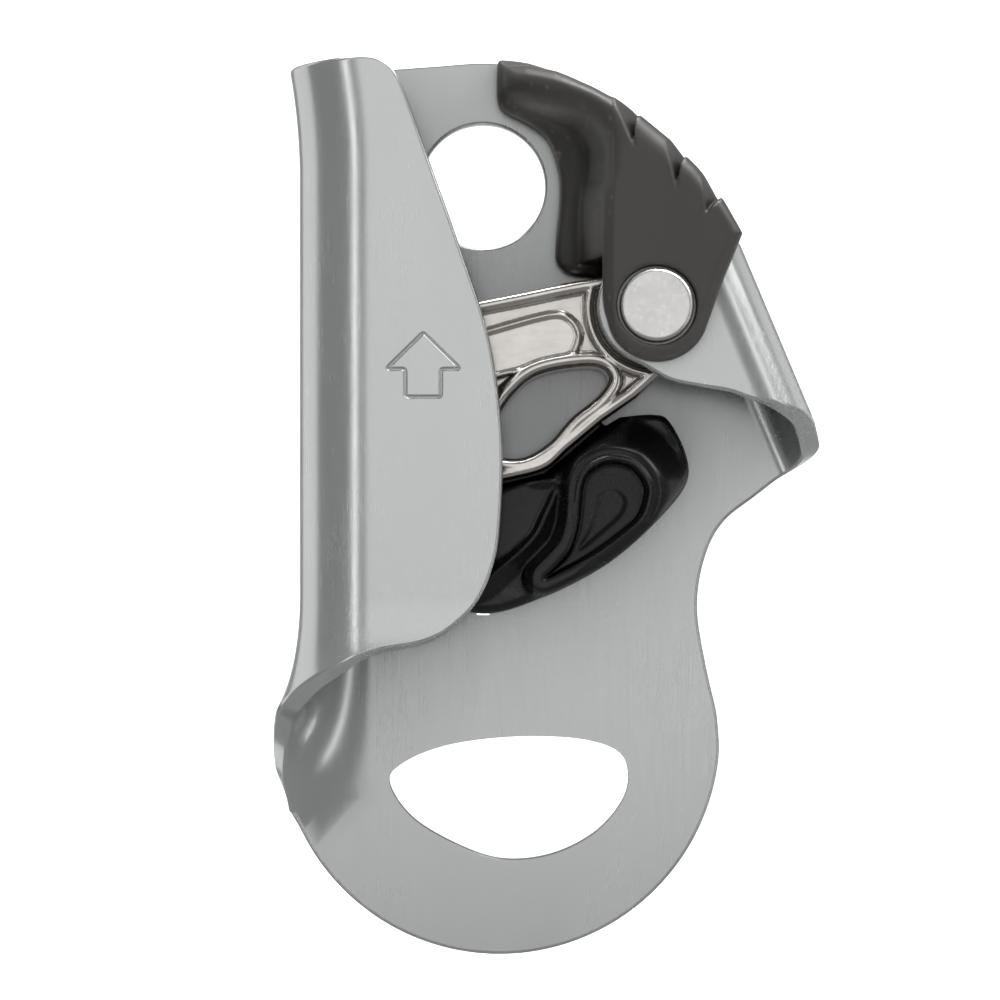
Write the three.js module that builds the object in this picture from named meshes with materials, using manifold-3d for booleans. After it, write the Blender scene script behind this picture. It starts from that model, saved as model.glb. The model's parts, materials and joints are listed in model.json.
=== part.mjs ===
// Compact rope ascender without a handle: one folded aluminium sheet, a toothed cam, a safety catch.
//
// Frame: millimetres. +X points to the user's right when the open side of the rope channel faces the
// user, +Y points away from the user (out of the back face) and +Z points up the rope.
// The origin is the centre of the upper attachment hole on the back face of the sheet.
// A "depth" is a distance forwards from the back face, so depth d lies at y = -d.

import * as THREE from 'three';
import { mergeVertices } from 'three/addons/utils/BufferGeometryUtils.js';
import Module from 'manifold-3d';

const wasm = await Module();
wasm.setup();

// ---------------------------------------------------------------- driving dimensions
const GAP = 0.3; // running clearance left between neighbouring pieces
const OVERCUT = 1; // how far a cutting tool runs past the face that it cuts

const SHEET = 2.5; // sheet thickness
const CHANNEL = 13; // clear depth between the plate and the flap, for 8 to 11 mm rope
const PLATE_MID = SHEET / 2; // depth of the plate's middle surface
const FLAP_MID = SHEET + CHANNEL + SHEET / 2; // depth of the flap's middle surface
const FLAP_BACK = SHEET + CHANNEL; // depth of the flap's and the ear's inner face
const EAR_FRONT = FLAP_BACK + SHEET; // depth of the ear's front face

const UPPER_HOLE_R = 7.6; // upper attachment hole
const HOLE_STEPS = 28;

const CHANNEL_X = -13.1; // where the plate turns into the channel's round wall
const CHANNEL_R = (FLAP_MID - PLATE_MID) / 2; // middle radius of that wall
const MOUTH_FLARE = 1.2; // outward lean of the wall at the channel's top
const MOUTH_HEIGHT = 13.5;
const TRUMPET_TOP = -50; // below this height the wall opens out
const TRUMPET_LENGTH = 27; // and is flat again this much lower
const TRUMPET_DRIFT = 0.0006; // drift of the bend line towards the plate, per mm squared
const FLATTEST = 0.04; // smallest share of the full curvature that is kept

const FOLD_TILT = THREE.MathUtils.degToRad(22.8); // lean of the right-hand fold from vertical
const FOLD_START = 19.33; // distance of the first bend line from the origin, across the fold
const FOLD_R = 4.9; // middle radius of its two bends
const FOLD_ARC = (FOLD_R * Math.PI) / 2;
const FOLD_WEB = FLAP_MID - PLATE_MID - 2 * FOLD_R; // flat between the two bends
const EAR_START = FOLD_START + 2 * FOLD_ARC + FOLD_WEB; // developed distance where the ear begins
const FOLD_TOP = 14.8; // the fold exists only below this distance along its axis

const PIVOT_X = 20.57; // main axle
const PIVOT_Z = -15.43;
const AXLE_R = 2.6;
const AXLE_HOLE_R = AXLE_R + GAP;
const AXLE_HEAD_R = 4.36;
const HEAD_FRONT = 20.5; // depths of the rivet's head and of its riveted tail
const TAIL_FRONT = -1.7;
const TAIL_BACK = -3.0;
const TAIL_WASHER_R = 5.4;
const THRUST_WASHER_R = 6.3;
const SLEEVE_R = 3.7;
const CAM_BORE_R = SLEEVE_R + GAP;

const CAM_BACK = 4.0; // depths of the cam's two faces
const CAM_FRONT = 14.0;
const CAM_MID = (CAM_BACK + CAM_FRONT) / 2;
const HUB_R = 6.6;
const CAM_SPRING_R = 4.9; // torsion spring in a pocket in the cam's back
const CAM_POCKET_R = 5.8;
const CAM_POCKET_FRONT = 8.2;

const CATCH_X = -7; // catch pin
const CATCH_Z = -32.6;
const CATCH_PIN_R = 1.25;
const CATCH_BACK = 3.1; // depths of the catch's thumb pad
const CATCH_FRONT = 14.6;
const SLOT_BACK = 6.2; // slot in the cam that takes the catch's neck
const SLOT_FRONT = 11.8;
const NECK_FRONT = 9.2;

const SKIN_BACK = EAR_FRONT + GAP; // grip shroud: thin skin over the ear
const SKIN_FRONT = 20.4;
const FLANGE_FRONT = 6.2; // and a low flange round the upper hole
const SHROUD_BACK = SHEET + GAP;
const HEAD_OPENING_R = AXLE_HEAD_R + GAP;

// ---------------------------------------------------------------- solids and placing
function toSolid(geometry) {
  const bare = geometry.index ? geometry.clone() : geometry;
  bare.deleteAttribute('normal');
  bare.deleteAttribute('uv');
  const merged = mergeVertices(bare, 1e-4);
  const vertProperties = new Float32Array(merged.attributes.position.array);
  const triVerts = new Uint32Array(merged.index.array);
  return new wasm.Manifold(new wasm.Mesh({ numProp: 3, vertProperties, triVerts }));
}

function toGeometry(solid) {
  const mesh = solid.getMesh();
  const geometry = new THREE.BufferGeometry();
  geometry.setAttribute('position', new THREE.BufferAttribute(mesh.vertProperties, 3));
  geometry.setIndex(new THREE.BufferAttribute(mesh.triVerts, 1));
  return geometry;
}

// An outline in (x, z), given thickness from one depth to another.
function slab(outline, back, front, bevel = 0) {
  const shape = outline instanceof THREE.Shape ? outline : new THREE.Shape(outline);
  const geometry = new THREE.ExtrudeGeometry(shape, {
    depth: front - back - 2 * bevel,
    bevelEnabled: bevel > 0,
    bevelThickness: bevel,
    bevelSize: bevel,
    bevelOffset: -bevel,
    bevelSegments: 1,
    curveSegments: 8,
  });
  geometry.translate(0, 0, back + bevel);
  geometry.rotateX(Math.PI / 2);
  return toSolid(geometry);
}

// A turned piece on an axis along Y: profile points are (radius, depth), going forwards.
function turned(profile, x, z, steps = 24) {
  const points = profile.map(([radius, depth]) => new THREE.Vector2(radius, depth));
  const geometry = new THREE.LatheGeometry(points, steps);
  geometry.rotateX(Math.PI);
  geometry.translate(x, 0, z);
  return toSolid(geometry);
}

function rod(radius, back, front, x, z, steps = 24) {
  return turned([[0, back], [radius, back], [radius, front], [0, front]], x, z, steps);
}

function ring(inner, outer, back, front, x, z, steps = 24) {
  const profile = [[inner, back], [outer, back], [outer, front], [inner, front], [inner, back]];
  return turned(profile, x, z, steps);
}

const v2 = (pairs) => pairs.map(([x, z]) => new THREE.Vector2(x, z));

function spline(pairs, steps) {
  return new THREE.SplineCurve(v2(pairs)).getPoints(steps);
}

function closedSpline(pairs, steps) {
  const loop = pairs.map(([x, z]) => new THREE.Vector3(x, z, 0));
  const points = new THREE.CatmullRomCurve3(loop, true).getPoints(steps);
  return points.slice(0, -1).map((p) => new THREE.Vector2(p.x, p.y));
}

function arc(x, z, radius, fromDegrees, toDegrees, steps) {
  return Array.from({ length: steps + 1 }, (_, i) => {
    const angle = THREE.MathUtils.degToRad(fromDegrees + ((toDegrees - fromDegrees) * i) / steps);
    return new THREE.Vector2(x + radius * Math.cos(angle), z + radius * Math.sin(angle));
  });
}

// ---------------------------------------------------------------- folded sheet
// The sheet is drawn flat, as it is cut, then bent: (s, z) on the flat sheet goes to a point of the
// middle surface in space. The channel's wall bends about the Z direction, and the fold that carries
// the ear bends about an axis that leans by FOLD_TILT.
const ALONG = new THREE.Vector2(Math.sin(FOLD_TILT), -Math.cos(FOLD_TILT));
const ACROSS = new THREE.Vector2(Math.cos(FOLD_TILT), Math.sin(FOLD_TILT));

function channelBend(z) {
  const below = Math.max(0, TRUMPET_TOP - z);
  const above = Math.max(0, z) / MOUTH_HEIGHT;
  const curvature = Math.max(FLATTEST, 1 - (below / TRUMPET_LENGTH) ** 2);
  return {
    start: CHANNEL_X + TRUMPET_DRIFT * below ** 2 - MOUTH_FLARE * above ** 2,
    radius: CHANNEL_R / curvature,
  };
}

function bendChannel(s, z) {
  const { start, radius } = channelBend(z);
  const angle = (start - s) / radius;
  if (angle <= 0) return new THREE.Vector3(s, -PLATE_MID, z);
  if (angle < Math.PI) {
    const depth = PLATE_MID + radius * (1 - Math.cos(angle));
    return new THREE.Vector3(start - radius * Math.sin(angle), -depth, z);
  }
  return new THREE.Vector3(start + radius * (angle - Math.PI), -PLATE_MID - 2 * radius, z);
}

function bendFold(along, across) {
  const past = across - FOLD_START;
  let reach = FOLD_START;
  let depth = PLATE_MID;
  if (past < FOLD_ARC) {
    reach += FOLD_R * Math.sin(past / FOLD_R);
    depth += FOLD_R * (1 - Math.cos(past / FOLD_R));
  } else if (past < FOLD_ARC + FOLD_WEB) {
    reach += FOLD_R;
    depth += FOLD_R + past - FOLD_ARC;
  } else if (past < 2 * FOLD_ARC + FOLD_WEB) {
    const angle = (past - FOLD_ARC - FOLD_WEB) / FOLD_R;
    reach += FOLD_R * Math.cos(angle);
    depth = FLAP_MID - FOLD_R * (1 - Math.sin(angle));
  } else {
    reach -= past - 2 * FOLD_ARC - FOLD_WEB;
    depth = FLAP_MID;
  }
  const x = along * ALONG.x + reach * ACROSS.x;
  const z = along * ALONG.y + reach * ACROSS.y;
  return new THREE.Vector3(x, -depth, z);
}

function bentPoint(s, z) {
  const flat = new THREE.Vector2(s, z);
  const along = flat.dot(ALONG);
  const across = flat.dot(ACROSS);
  if (across > FOLD_START && along > FOLD_TOP) return bendFold(along, across);
  return bendChannel(s, z);
}

function bentNormal(s, z) {
  const step = 1e-3;
  const acrossSheet = bentPoint(s + step, z).sub(bentPoint(s - step, z));
  const upSheet = bentPoint(s, z + step).sub(bentPoint(s, z - step));
  return acrossSheet.cross(upSheet).normalize();
}

// Flat-sheet position of a point (x, z) of the flap.
function onFlap([x, z]) {
  const { start, radius } = channelBend(z);
  return new THREE.Vector2(2 * start - Math.PI * radius - x, z);
}

// Flat-sheet position of a point on the channel's wall, by its angle round the wall.
function onWall(degrees, z) {
  const { start, radius } = channelBend(z);
  return new THREE.Vector2(start - radius * THREE.MathUtils.degToRad(degrees), z);
}

// Flat-sheet position of a point on the fold or the ear, by its distances along and across the fold.
function onFold([along, across]) {
  return new THREE.Vector2(
    along * ALONG.x + across * ACROSS.x,
    along * ALONG.y + across * ACROSS.y,
  );
}

// Distance across the flat sheet of a point of the ear that ends up "across" from the origin.
const earAcross = (across) => EAR_START + FOLD_START - across;

// The flat sheet as triangles. Patches that share an edge share its points.
class FlatSheet {
  constructor() {
    this.points = [];
    this.triangles = [];
    this.known = new Map();
  }

  indexOf(point) {
    const key = `${Math.round(point.x * 1e4)}_${Math.round(point.y * 1e4)}`;
    if (!this.known.has(key)) this.known.set(key, this.points.push(point) - 1);
    return this.known.get(key);
  }

  addTriangle(a, b, c) {
    const [i, j, k] = [a, b, c].map((point) => this.indexOf(point));
    if (i === j || j === k || k === i) return;
    const turn = b.clone().sub(a).cross(c.clone().sub(a));
    this.triangles.push(turn > 0 ? [i, j, k] : [i, k, j]);
  }

  addGrid(rows) {
    for (let r = 1; r < rows.length; r += 1) {
      const [above, below] = [rows[r - 1], rows[r]];
      for (let c = 1; c < above.length; c += 1) {
        this.addTriangle(above[c - 1], above[c], below[c]);
        this.addTriangle(above[c - 1], below[c], below[c - 1]);
      }
    }
  }

  addPolygon(outline, holes = []) {
    const all = [...outline, ...holes.flat()];
    for (const [a, b, c] of THREE.ShapeUtils.triangulateShape([...outline], holes)) {
      this.addTriangle(all[a], all[b], all[c]);
    }
  }

  bent() {
    const count = this.points.length;
    const positions = new Float32Array(count * 6);
    this.points.forEach((p, i) => {
      const middle = bentPoint(p.x, p.y);
      const normal = bentNormal(p.x, p.y).multiplyScalar(SHEET / 2);
      middle.clone().add(normal).toArray(positions, i * 3);
      middle.clone().sub(normal).toArray(positions, (count + i) * 3);
    });
    const index = [];
    const sides = new Set();
    for (const [a, b, c] of this.triangles) {
      index.push(a, b, c, count + a, count + c, count + b);
      for (const side of [[a, b], [b, c], [c, a]]) sides.add(side.join('_'));
    }
    for (const side of sides) {
      const [a, b] = side.split('_').map(Number);
      if (!sides.has(`${b}_${a}`)) index.push(b, a, count + a, b, count + a, count + b);
    }
    const geometry = new THREE.BufferGeometry();
    geometry.setAttribute('position', new THREE.BufferAttribute(positions, 3));
    geometry.setIndex(index);
    return toSolid(geometry);
  }
}

// Free edge of the flap, from the top down, as (x, z).
const FLAP_EDGE = [
  [-12.4, 14.1], [-11.1, 13.3], [-10, 11.9], [-8.45, 7.9], [-6.4, 2.1], [-4.7, -2.6], [-3, -7.4],
  [-0.8, -13.4], [0.8, -19.2], [1.8, -24.8], [2.35, -31], [2.4, -36.5], [2.05, -42], [1.1, -46.8],
];
// Lower corner of the flap, one row of the sheet for each point.
const FLAP_FOOT = [
  [-0.3, -50], [-1.4, -51.5], [-2.9, -53], [-4.9, -54.5], [-7.7, -55.6], [-10.8, -56.1],
];
// Below the flap's foot the wall is cut away: the height, and how far round it the sheet still goes.
const WALL_FOOT = [
  [-56.5, 180], [-58.8, 150], [-61.2, 122], [-63.2, 103], [-64.6, 84], [-66.9, 65], [-69.1, 50],
  [-71.3, 36], [-73.6, 20.8], [-75.1, 11.4], [-76.5, 3.3],
];
const MOUTH_ROWS = [9.5, 5, 0];
const WALL_STEPS = 12;
const WALL_TOP = 14.3; // top edge of the sheet where the wall starts
const WALL_TOP_DIP = 0.7; // and how much lower it runs on the outside of the bend

function wallRow(heightAt, reach) {
  return Array.from({ length: WALL_STEPS + 1 }, (_, i) => {
    const degrees = (reach * i) / WALL_STEPS;
    return onWall(degrees, heightAt(degrees));
  });
}

function wallRows() {
  const topHeight = (degrees) => WALL_TOP - WALL_TOP_DIP * Math.sin(THREE.MathUtils.degToRad(degrees));
  const straight = [...MOUTH_ROWS, ...FLAP_FOOT.map(([, z]) => z)].map((z) => [z, 180]);
  return [
    wallRow(topHeight, 180),
    ...[...straight, ...WALL_FOOT].map(([z, reach]) => wallRow(() => z, reach)),
  ];
}

function plateOutline(wall) {
  const bottom = arc(2, -67, 27.1, 204, 356, 22);
  const waist = spline(
    [[28.7, -64.5], [27.3, -58.5], [26.25, -51.5], [27.2, -45.4], [29.4, -41.1], [33.2, -38.1]],
    14,
  );
  const relief = [[18.4, FOLD_START - 0.4], [16.5, FOLD_START - 0.9], [14.6, FOLD_START - 0.3]];
  const corner = [[14.2, 21], [14.2, 23.6]];
  const shoulder = spline([[26.6, -2.6], [21.8, 3.2], [15.6, 8.9], [8.6, 13.2], [2, 15.25], [-6, 14.9]], 16);
  const lowestRow = wall[wall.length - 1];
  return [
    ...bottom, ...waist, onFold(FOLD_FOOT[0]), onFold(FOLD_HEAD[0]), ...[...relief, ...corner].map(onFold),
    ...shoulder, ...wall.map((row) => row[0]), ...lowestRow.slice(1),
  ];
}

// The fold is straight along its axis: each line across it runs from its head cut to its foot cut.
const BEND_STEPS = 5;
const foldLines = [FOLD_START, EAR_START - FOLD_ARC].flatMap((first) => (
  Array.from({ length: BEND_STEPS + 1 }, (_, i) => first + (i * FOLD_ARC) / BEND_STEPS)
));
const footHeight = new THREE.SplineCurve(v2([[47, 20], [46.4, 25], [45, 29], [43, 32], [40.4, 35.2], [37, 40.5]]));
const FOLD_FOOT = foldLines.map((across, i) => [footHeight.getPoint(i / (foldLines.length - 1)).x, across]);
const FOLD_HEAD = foldLines.map((across) => [18.8, across]);

function earOutline() {
  const pivot = new THREE.Vector2(PIVOT_X, PIVOT_Z);
  const foot = [[34.9, 17.2], [32.9, 13.9], [31, 11]].map(([p, q]) => [p, earAcross(q)]);
  const tip = arc(pivot.dot(ALONG), earAcross(pivot.dot(ACROSS)), 7, 40, 180, 12).map((p) => [p.x, p.y]);
  const top = [[17.2, earAcross(16)]];
  const foldSide = [FOLD_HEAD, FOLD_FOOT].map((line) => line[line.length - 1]);
  return [...foldSide, ...foot, ...tip, ...top].map(onFold);
}

function lowerHole() {
  return closedSpline(
    [
      [-11.9, -73], [-9.9, -70.2], [-4.1, -67.95], [4.5, -66.95], [12.8, -67.4], [17.4, -69.5],
      [18, -74.2], [14.6, -79], [9, -82.1], [2.7, -82.9], [-3, -81.2], [-9, -77.6],
    ],
    34,
  );
}

// Hole that holds the cam spring's tail, through the sheet and the washer on it.
function springTailHole() {
  return rod(0.9, -OVERCUT, CAM_BACK + OVERCUT, PIVOT_X + CAM_SPRING_R, PIVOT_Z, 8);
}

function makeFrame() {
  const sheet = new FlatSheet();
  const wall = wallRows();
  const upperHole = arc(0, 0, UPPER_HOLE_R, 0, 360, HOLE_STEPS).slice(0, -1);
  const drain = v2([[-0.9, -51.9], [0.9, -51.9], [0.9, -52.7], [-0.9, -52.7]]);
  sheet.addPolygon(plateOutline(wall), [upperHole, lowerHole(), drain]);
  sheet.addGrid(wall);

  const flapRows = wall.slice(0, MOUTH_ROWS.length + 2).map((row) => row[WALL_STEPS]);
  const foot = FLAP_FOOT.map(onFlap);
  sheet.addPolygon([...flapRows.reverse(), ...FLAP_EDGE.map(onFlap), foot[0]]);
  const lowerRows = wall.slice(MOUTH_ROWS.length + 1).map((row) => row[WALL_STEPS]);
  sheet.addGrid([...foot, lowerRows[foot.length]].map((edge, i) => [lowerRows[i], edge]));

  sheet.addGrid([FOLD_HEAD.map(onFold), FOLD_FOOT.map(onFold)]);
  sheet.addPolygon(earOutline());

  const axleHole = rod(AXLE_HOLE_R, -OVERCUT, EAR_FRONT + OVERCUT, PIVOT_X, PIVOT_Z);
  return sheet.bent().subtract(axleHole).subtract(springTailHole());
}

// ---------------------------------------------------------------- grip shroud
const SHOULDER = [
  [30.75, -6.9], [28.5, -2.9], [25.6, 1], [22.3, 4.4], [17.8, 8.3], [13.2, 11.5], [8.9, 13.9], [5.4, 15],
];
const FINGER_FLANGE = [
  [14.9, -9.6], [14.9, 10.2], [12.9, 11.5], [8.9, 13.9], [5.4, 15], [2.1, 15.4], [2.1, 9.6],
  [5.2, 7.9], [7.7, 5.8], [9, 2.6], [9.4, -0.8], [8.9, -7.2], [9, -9.4], [10.2, -10.7], [12.5, -11.2],
];
// Edge of the hand's side of the block, from the top of the flange down to the cam.
const RIDGE = [[4.6, 12.4], [9, 10.3], [13.1, 7.8], [15, 4.5], [15, 0], [14.5, -3.4], [14.45, -9.6]];
const RIDGE_FOOT = [
  [12.6, -9.6], [12.9, -3.4], [13.3, 0], [13.2, 3.8], [11.8, 6.6], [8.4, 9.2], [5, 11], [5.4, 13],
  [8.9, 13], [13.2, 10.5], [20, 2], [20, -7.4],
];
const RIDGE_FOOT_FRONT = 12;
const UNDERCUT = [[24.6, -5.5], [25.8, -9]]; // where the block ends and only the skin goes on
const BROW = [[-1, 7.5], [6, 13.5], [10, 17.5], [15.5, SKIN_FRONT]]; // (x, depth) of the sloping top
const BROW_CLEAR = 24;
const GROOVES = [
  [[14.9, 10.4], [17.8, 3.3], [17.5, 9.8]],
  [[21.4, 5.2], [22.8, -1.5], [24, 3.2]],
  [[26.1, -0.4], [26.3, -4.7], [28.6, -2.4]],
];
const GROOVE_BACK = 11.5;

// A bar with its outline in (x, depth), running from one height to another.
function barAlongZ(outline, low, high) {
  const shape = new THREE.Shape(outline.map(([x, depth]) => new THREE.Vector2(x, -depth)));
  const geometry = new THREE.ExtrudeGeometry(shape, { depth: high - low, bevelEnabled: false });
  geometry.translate(0, 0, low);
  return toSolid(geometry);
}

function makeShroud() {
  const block = [...spline(RIDGE, 12), ...v2(UNDERCUT), ...v2(SHOULDER)];
  const skin = [
    ...v2([[30.9, -7.1], [28.2, -13.1], [26.3, -18.2]]), ...arc(20.6, -16, 6.1, -25, -155, 10),
    ...v2([[14.45, -17.4], [14.45, 8]]), ...v2(SHOULDER.slice(1, 5).reverse()),
  ];
  const aboveBrow = barAlongZ([...BROW, [BROW[3][0], BROW_CLEAR], [BROW[0][0], BROW_CLEAR]], -20, 20);
  let shroud = slab(block, SHROUD_BACK, SKIN_FRONT, 0.6)
    .subtract(aboveBrow)
    .add(slab(v2(RIDGE_FOOT), SHROUD_BACK, RIDGE_FOOT_FRONT, 0.5).subtract(aboveBrow))
    .add(slab(v2(FINGER_FLANGE), SHROUD_BACK, FLANGE_FRONT, 0.5))
    .add(slab(skin, SKIN_BACK, SKIN_FRONT, 0.4));
  for (const groove of GROOVES) {
    shroud = shroud.subtract(slab(v2(groove), GROOVE_BACK, SKIN_FRONT + OVERCUT));
  }
  const headOpening = rod(HEAD_OPENING_R, EAR_FRONT, SKIN_FRONT + OVERCUT, PIVOT_X, PIVOT_Z);
  return shroud.subtract(headOpening);
}

// ---------------------------------------------------------------- axle group
function makeAxle() {
  return turned(
    [
      [0, TAIL_BACK], [3.4, TAIL_BACK], [4.1, TAIL_BACK + 0.6], [4.1, TAIL_FRONT], [AXLE_R, TAIL_FRONT],
      [AXLE_R, SKIN_BACK], [AXLE_HEAD_R, SKIN_BACK], [AXLE_HEAD_R, HEAD_FRONT - 0.4],
      [4, HEAD_FRONT], [0, HEAD_FRONT],
    ],
    PIVOT_X,
    PIVOT_Z,
  );
}

function axleRing(inner, outer, back, front) {
  return ring(inner, outer, back, front, PIVOT_X, PIVOT_Z);
}

const makeTailWasher = () => axleRing(AXLE_HOLE_R, TAIL_WASHER_R, TAIL_FRONT + GAP, -GAP);
const makeSleeve = () => axleRing(AXLE_HOLE_R, SLEEVE_R, SHEET + GAP, FLAP_BACK - GAP);
const makeBackWasher = () => axleRing(CAM_BORE_R, THRUST_WASHER_R, SHEET + GAP, CAM_BACK - GAP)
  .subtract(springTailHole());
const makeFrontWasher = () => axleRing(CAM_BORE_R, THRUST_WASHER_R, CAM_FRONT + GAP, FLAP_BACK - GAP);

// ---------------------------------------------------------------- springs
class Coil extends THREE.Curve {
  constructor(points) {
    super();
    this.path = new THREE.CatmullRomCurve3(points, false, 'centripetal');
  }

  getPoint(t, target) {
    return this.path.getPoint(t, target);
  }
}

// Wire bent through a list of points, with a regular polygon as its section.
function wire(points, radius, steps) {
  const sides = 6;
  const section = arc(0, 0, radius, 0, 360, sides).slice(0, -1);
  const geometry = new THREE.ExtrudeGeometry(new THREE.Shape(section), {
    steps,
    extrudePath: new Coil(points),
    bevelEnabled: false,
  });
  return toSolid(geometry);
}

function coilPoints(x, z, radius, depth, pitch, turns, startDegrees) {
  const perTurn = 12;
  return Array.from({ length: Math.round(turns * perTurn) + 1 }, (_, i) => {
    const angle = THREE.MathUtils.degToRad(startDegrees + (360 * i) / perTurn);
    return new THREE.Vector3(
      x + radius * Math.cos(angle),
      -(depth + (pitch * i) / perTurn),
      z + radius * Math.sin(angle),
    );
  });
}

function makeCamSpring() {
  const coils = coilPoints(PIVOT_X, PIVOT_Z, CAM_SPRING_R, 4.7, 1.15, 2.5, 0);
  const tail = new THREE.Vector3(PIVOT_X + CAM_SPRING_R, -1.2, PIVOT_Z);
  const leg = new THREE.Vector3(PIVOT_X - CAM_SPRING_R - 0.4, -7.6, PIVOT_Z - 3.4);
  return wire([tail, ...coils, leg], 0.45, 90);
}

function makeCatchSpring() {
  const coils = coilPoints(CATCH_X, CATCH_Z, 2.2, 9.7, 0.8, 1.5, 90);
  const leg = new THREE.Vector3(CATCH_X + 0.6, -10.9, CATCH_Z - 5);
  const anchor = new THREE.Vector3(CATCH_X - 1.6, -9.7, CATCH_Z + 2.4);
  return wire([anchor, ...coils, leg], 0.3, 48);
}

// ---------------------------------------------------------------- cam
function camOutline() {
  const hub = arc(PIVOT_X, PIVOT_Z, HUB_R, -60, 112, 12);
  const top = spline(
    [[14.2, -11.7], [9.6, -12.5], [4.8, -13.5], [-0.2, -14.5], [-8, -16.1], [-13.4, -18.4]],
    12,
  );
  const face = spline([[-15.2, -21], [-16.1, -25], [-16.3, -29], [-15.6, -32.4]], 8);
  const foot = spline(
    [[-13.4, -34.6], [-8, -36.4], [-2, -36.9], [2.4, -36.1], [7.4, -34.8], [10.4, -32.3], [14.3, -29]],
    14,
  );
  return [...hub, ...top, ...face, ...foot, ...v2([[18.3, -26.2], [20.3, -24.4]])];
}

function camWindow() {
  return closedSpline(
    [
      [1.2, -32.6], [1.7, -29], [3.7, -25.7], [7, -23.3], [13, -22.4], [15.1, -23.7], [13.9, -25.9],
      [10.6, -28.6], [7.9, -31.6], [4.5, -33.4],
    ],
    24,
  );
}

function camTeeth() {
  const rows = 8;
  const teeth = [];
  for (let row = 0; row < rows; row += 1) {
    const z = -21.2 - row * 1.45;
    const faceX = -16.3 + 0.011 * (z + 28) ** 2;
    const offsets = row % 2 ? [-2.9, 2.9] : [-3.7, -2.1, 2.1, 3.7];
    for (const offset of offsets) {
      const tooth = new THREE.ConeGeometry(0.7, 1.5, 4);
      tooth.rotateZ(Math.PI / 2);
      tooth.translate(faceX - 0.2, -(CAM_MID + offset), z);
      teeth.push(toSolid(tooth));
    }
  }
  return teeth;
}

// Strip along the cam's lower edge where the back of the cam is cut away for the catch's tongue.
const TONGUE_FRONT = 7;
const TONGUE_SWING = [-4.8, -37.2];
const TONGUE_ROUTE = [[-1.6, -36.6], [2.4, -35.8], [7.2, -34.4], [10.2, -31.9], [14.2, -28.7], [21.5, -22.9]];

function stripAlong(route, above, below) {
  const middle = spline(route, 10);
  const offset = (distance) => middle.map((p, i) => {
    const before = middle[Math.max(0, i - 1)];
    const after = middle[Math.min(middle.length - 1, i + 1)];
    const way = after.clone().sub(before).normalize();
    return new THREE.Vector2(p.x - way.y * distance, p.y + way.x * distance);
  });
  return [...offset(-below), ...offset(above).reverse()];
}

const LEG_RELIEF_R = 7.3;
const LEG_RELIEF_BACK = 6.4;

function makeCam() {
  const pivot = new THREE.Vector2(PIVOT_X, PIVOT_Z);
  let cam = slab(camOutline(), CAM_BACK, CAM_FRONT);
  const panel = closedSpline(
    [[-1, -19.5], [4, -17], [12.6, -15.6], [13.4, -19.2], [7, -20.8], [2, -24]],
    18,
  );
  const cuts = [
    rod(CAM_BORE_R, CAM_BACK - OVERCUT, CAM_FRONT + OVERCUT, PIVOT_X, PIVOT_Z),
    rod(CAM_POCKET_R, CAM_BACK - OVERCUT, CAM_POCKET_FRONT, PIVOT_X, PIVOT_Z),
    slab(camWindow(), CAM_BACK - OVERCUT, CAM_FRONT + OVERCUT),
    slab(panel, CAM_FRONT - 0.8, CAM_FRONT + OVERCUT),
    // relief that lets the spring's leg stay still while the cam turns round it
    slab([pivot, ...arc(PIVOT_X, PIVOT_Z, LEG_RELIEF_R, 163, 224, 6)], LEG_RELIEF_BACK, CAM_POCKET_FRONT),
    // open slot that keeps the toothed face clear of mud
    slab(v2([[-18.5, -21.6], [-9, -21.6], [-9, -31], [-18.5, -31]]), CAM_MID - 1.1, CAM_MID + 1.1),
    slab(v2([[-12.6, -40], [-12.6, -30.6], [-9.5, -27.9], [-4.5, -27.9], [-1.7, -30.6], [-1.7, -40]]),
      SLOT_BACK, SLOT_FRONT),
    slab(stripAlong([TONGUE_SWING, ...TONGUE_ROUTE], 1.9, 6), CAM_BACK - OVERCUT, TONGUE_FRONT + 0.4),
    rod(CATCH_PIN_R + GAP, CAM_BACK - OVERCUT, CAM_FRONT + OVERCUT, CATCH_X, CATCH_Z, 16),
  ];
  for (const tooth of camTeeth()) cam = cam.add(tooth);
  for (const cut of cuts) cam = cam.subtract(cut);
  return cam;
}

// ---------------------------------------------------------------- catch
function makeCatch() {
  const belowCam = [[14.6, -29.6], [10.7, -33], [7.6, -35.5], [2.4, -36.8], [-2, -37.8]];
  const pad = [
    ...spline([[-2, -37.8], [-6, -40], [-8.6, -44], [-6.5, -49.5], [-0.1, -52.1], [7.3, -50.1],
      [15.2, -45.9], [21.4, -40.4], [24.6, -36.3], [24.5, -32.8], [22.5, -28.9], [20.6, -28.1],
      [16.6, -28.4]], 34),
    ...v2(belowCam.slice(0, -1)),
  ];
  const neck = [
    ...arc(CATCH_X, CATCH_Z, 3.4, 0, 180, 10), ...v2([[-10.4, -36], [-8.4, -43], [-2, -42], [-3.6, -37]]),
  ];
  const teardrop = closedSpline(
    [[13, -34.9], [15.6, -34.1], [18.4, -35], [19.4, -38], [17, -41.5], [11.2, -45.9], [7.2, -47.6],
      [10.6, -42.8], [11.8, -38.5]],
    24,
  );
  return slab(pad, CATCH_BACK, CATCH_FRONT, 0.7)
    .subtract(slab(v2([[-14, -52], [-1.9, -52], [-1.9, -30], [-14, -30]]), SLOT_FRONT - 0.4, FLAP_BACK))
    .add(slab(neck, SLOT_BACK + GAP, NECK_FRONT))
    .add(slab(stripAlong(TONGUE_ROUTE.slice(0, -1), 1.4, 2.5), CATCH_BACK + 0.7, TONGUE_FRONT))
    .subtract(slab(teardrop, CATCH_FRONT - 3.2, FLAP_BACK))
    .subtract(rod(CATCH_PIN_R + GAP, 0, FLAP_BACK, CATCH_X, CATCH_Z, 16));
}

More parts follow.
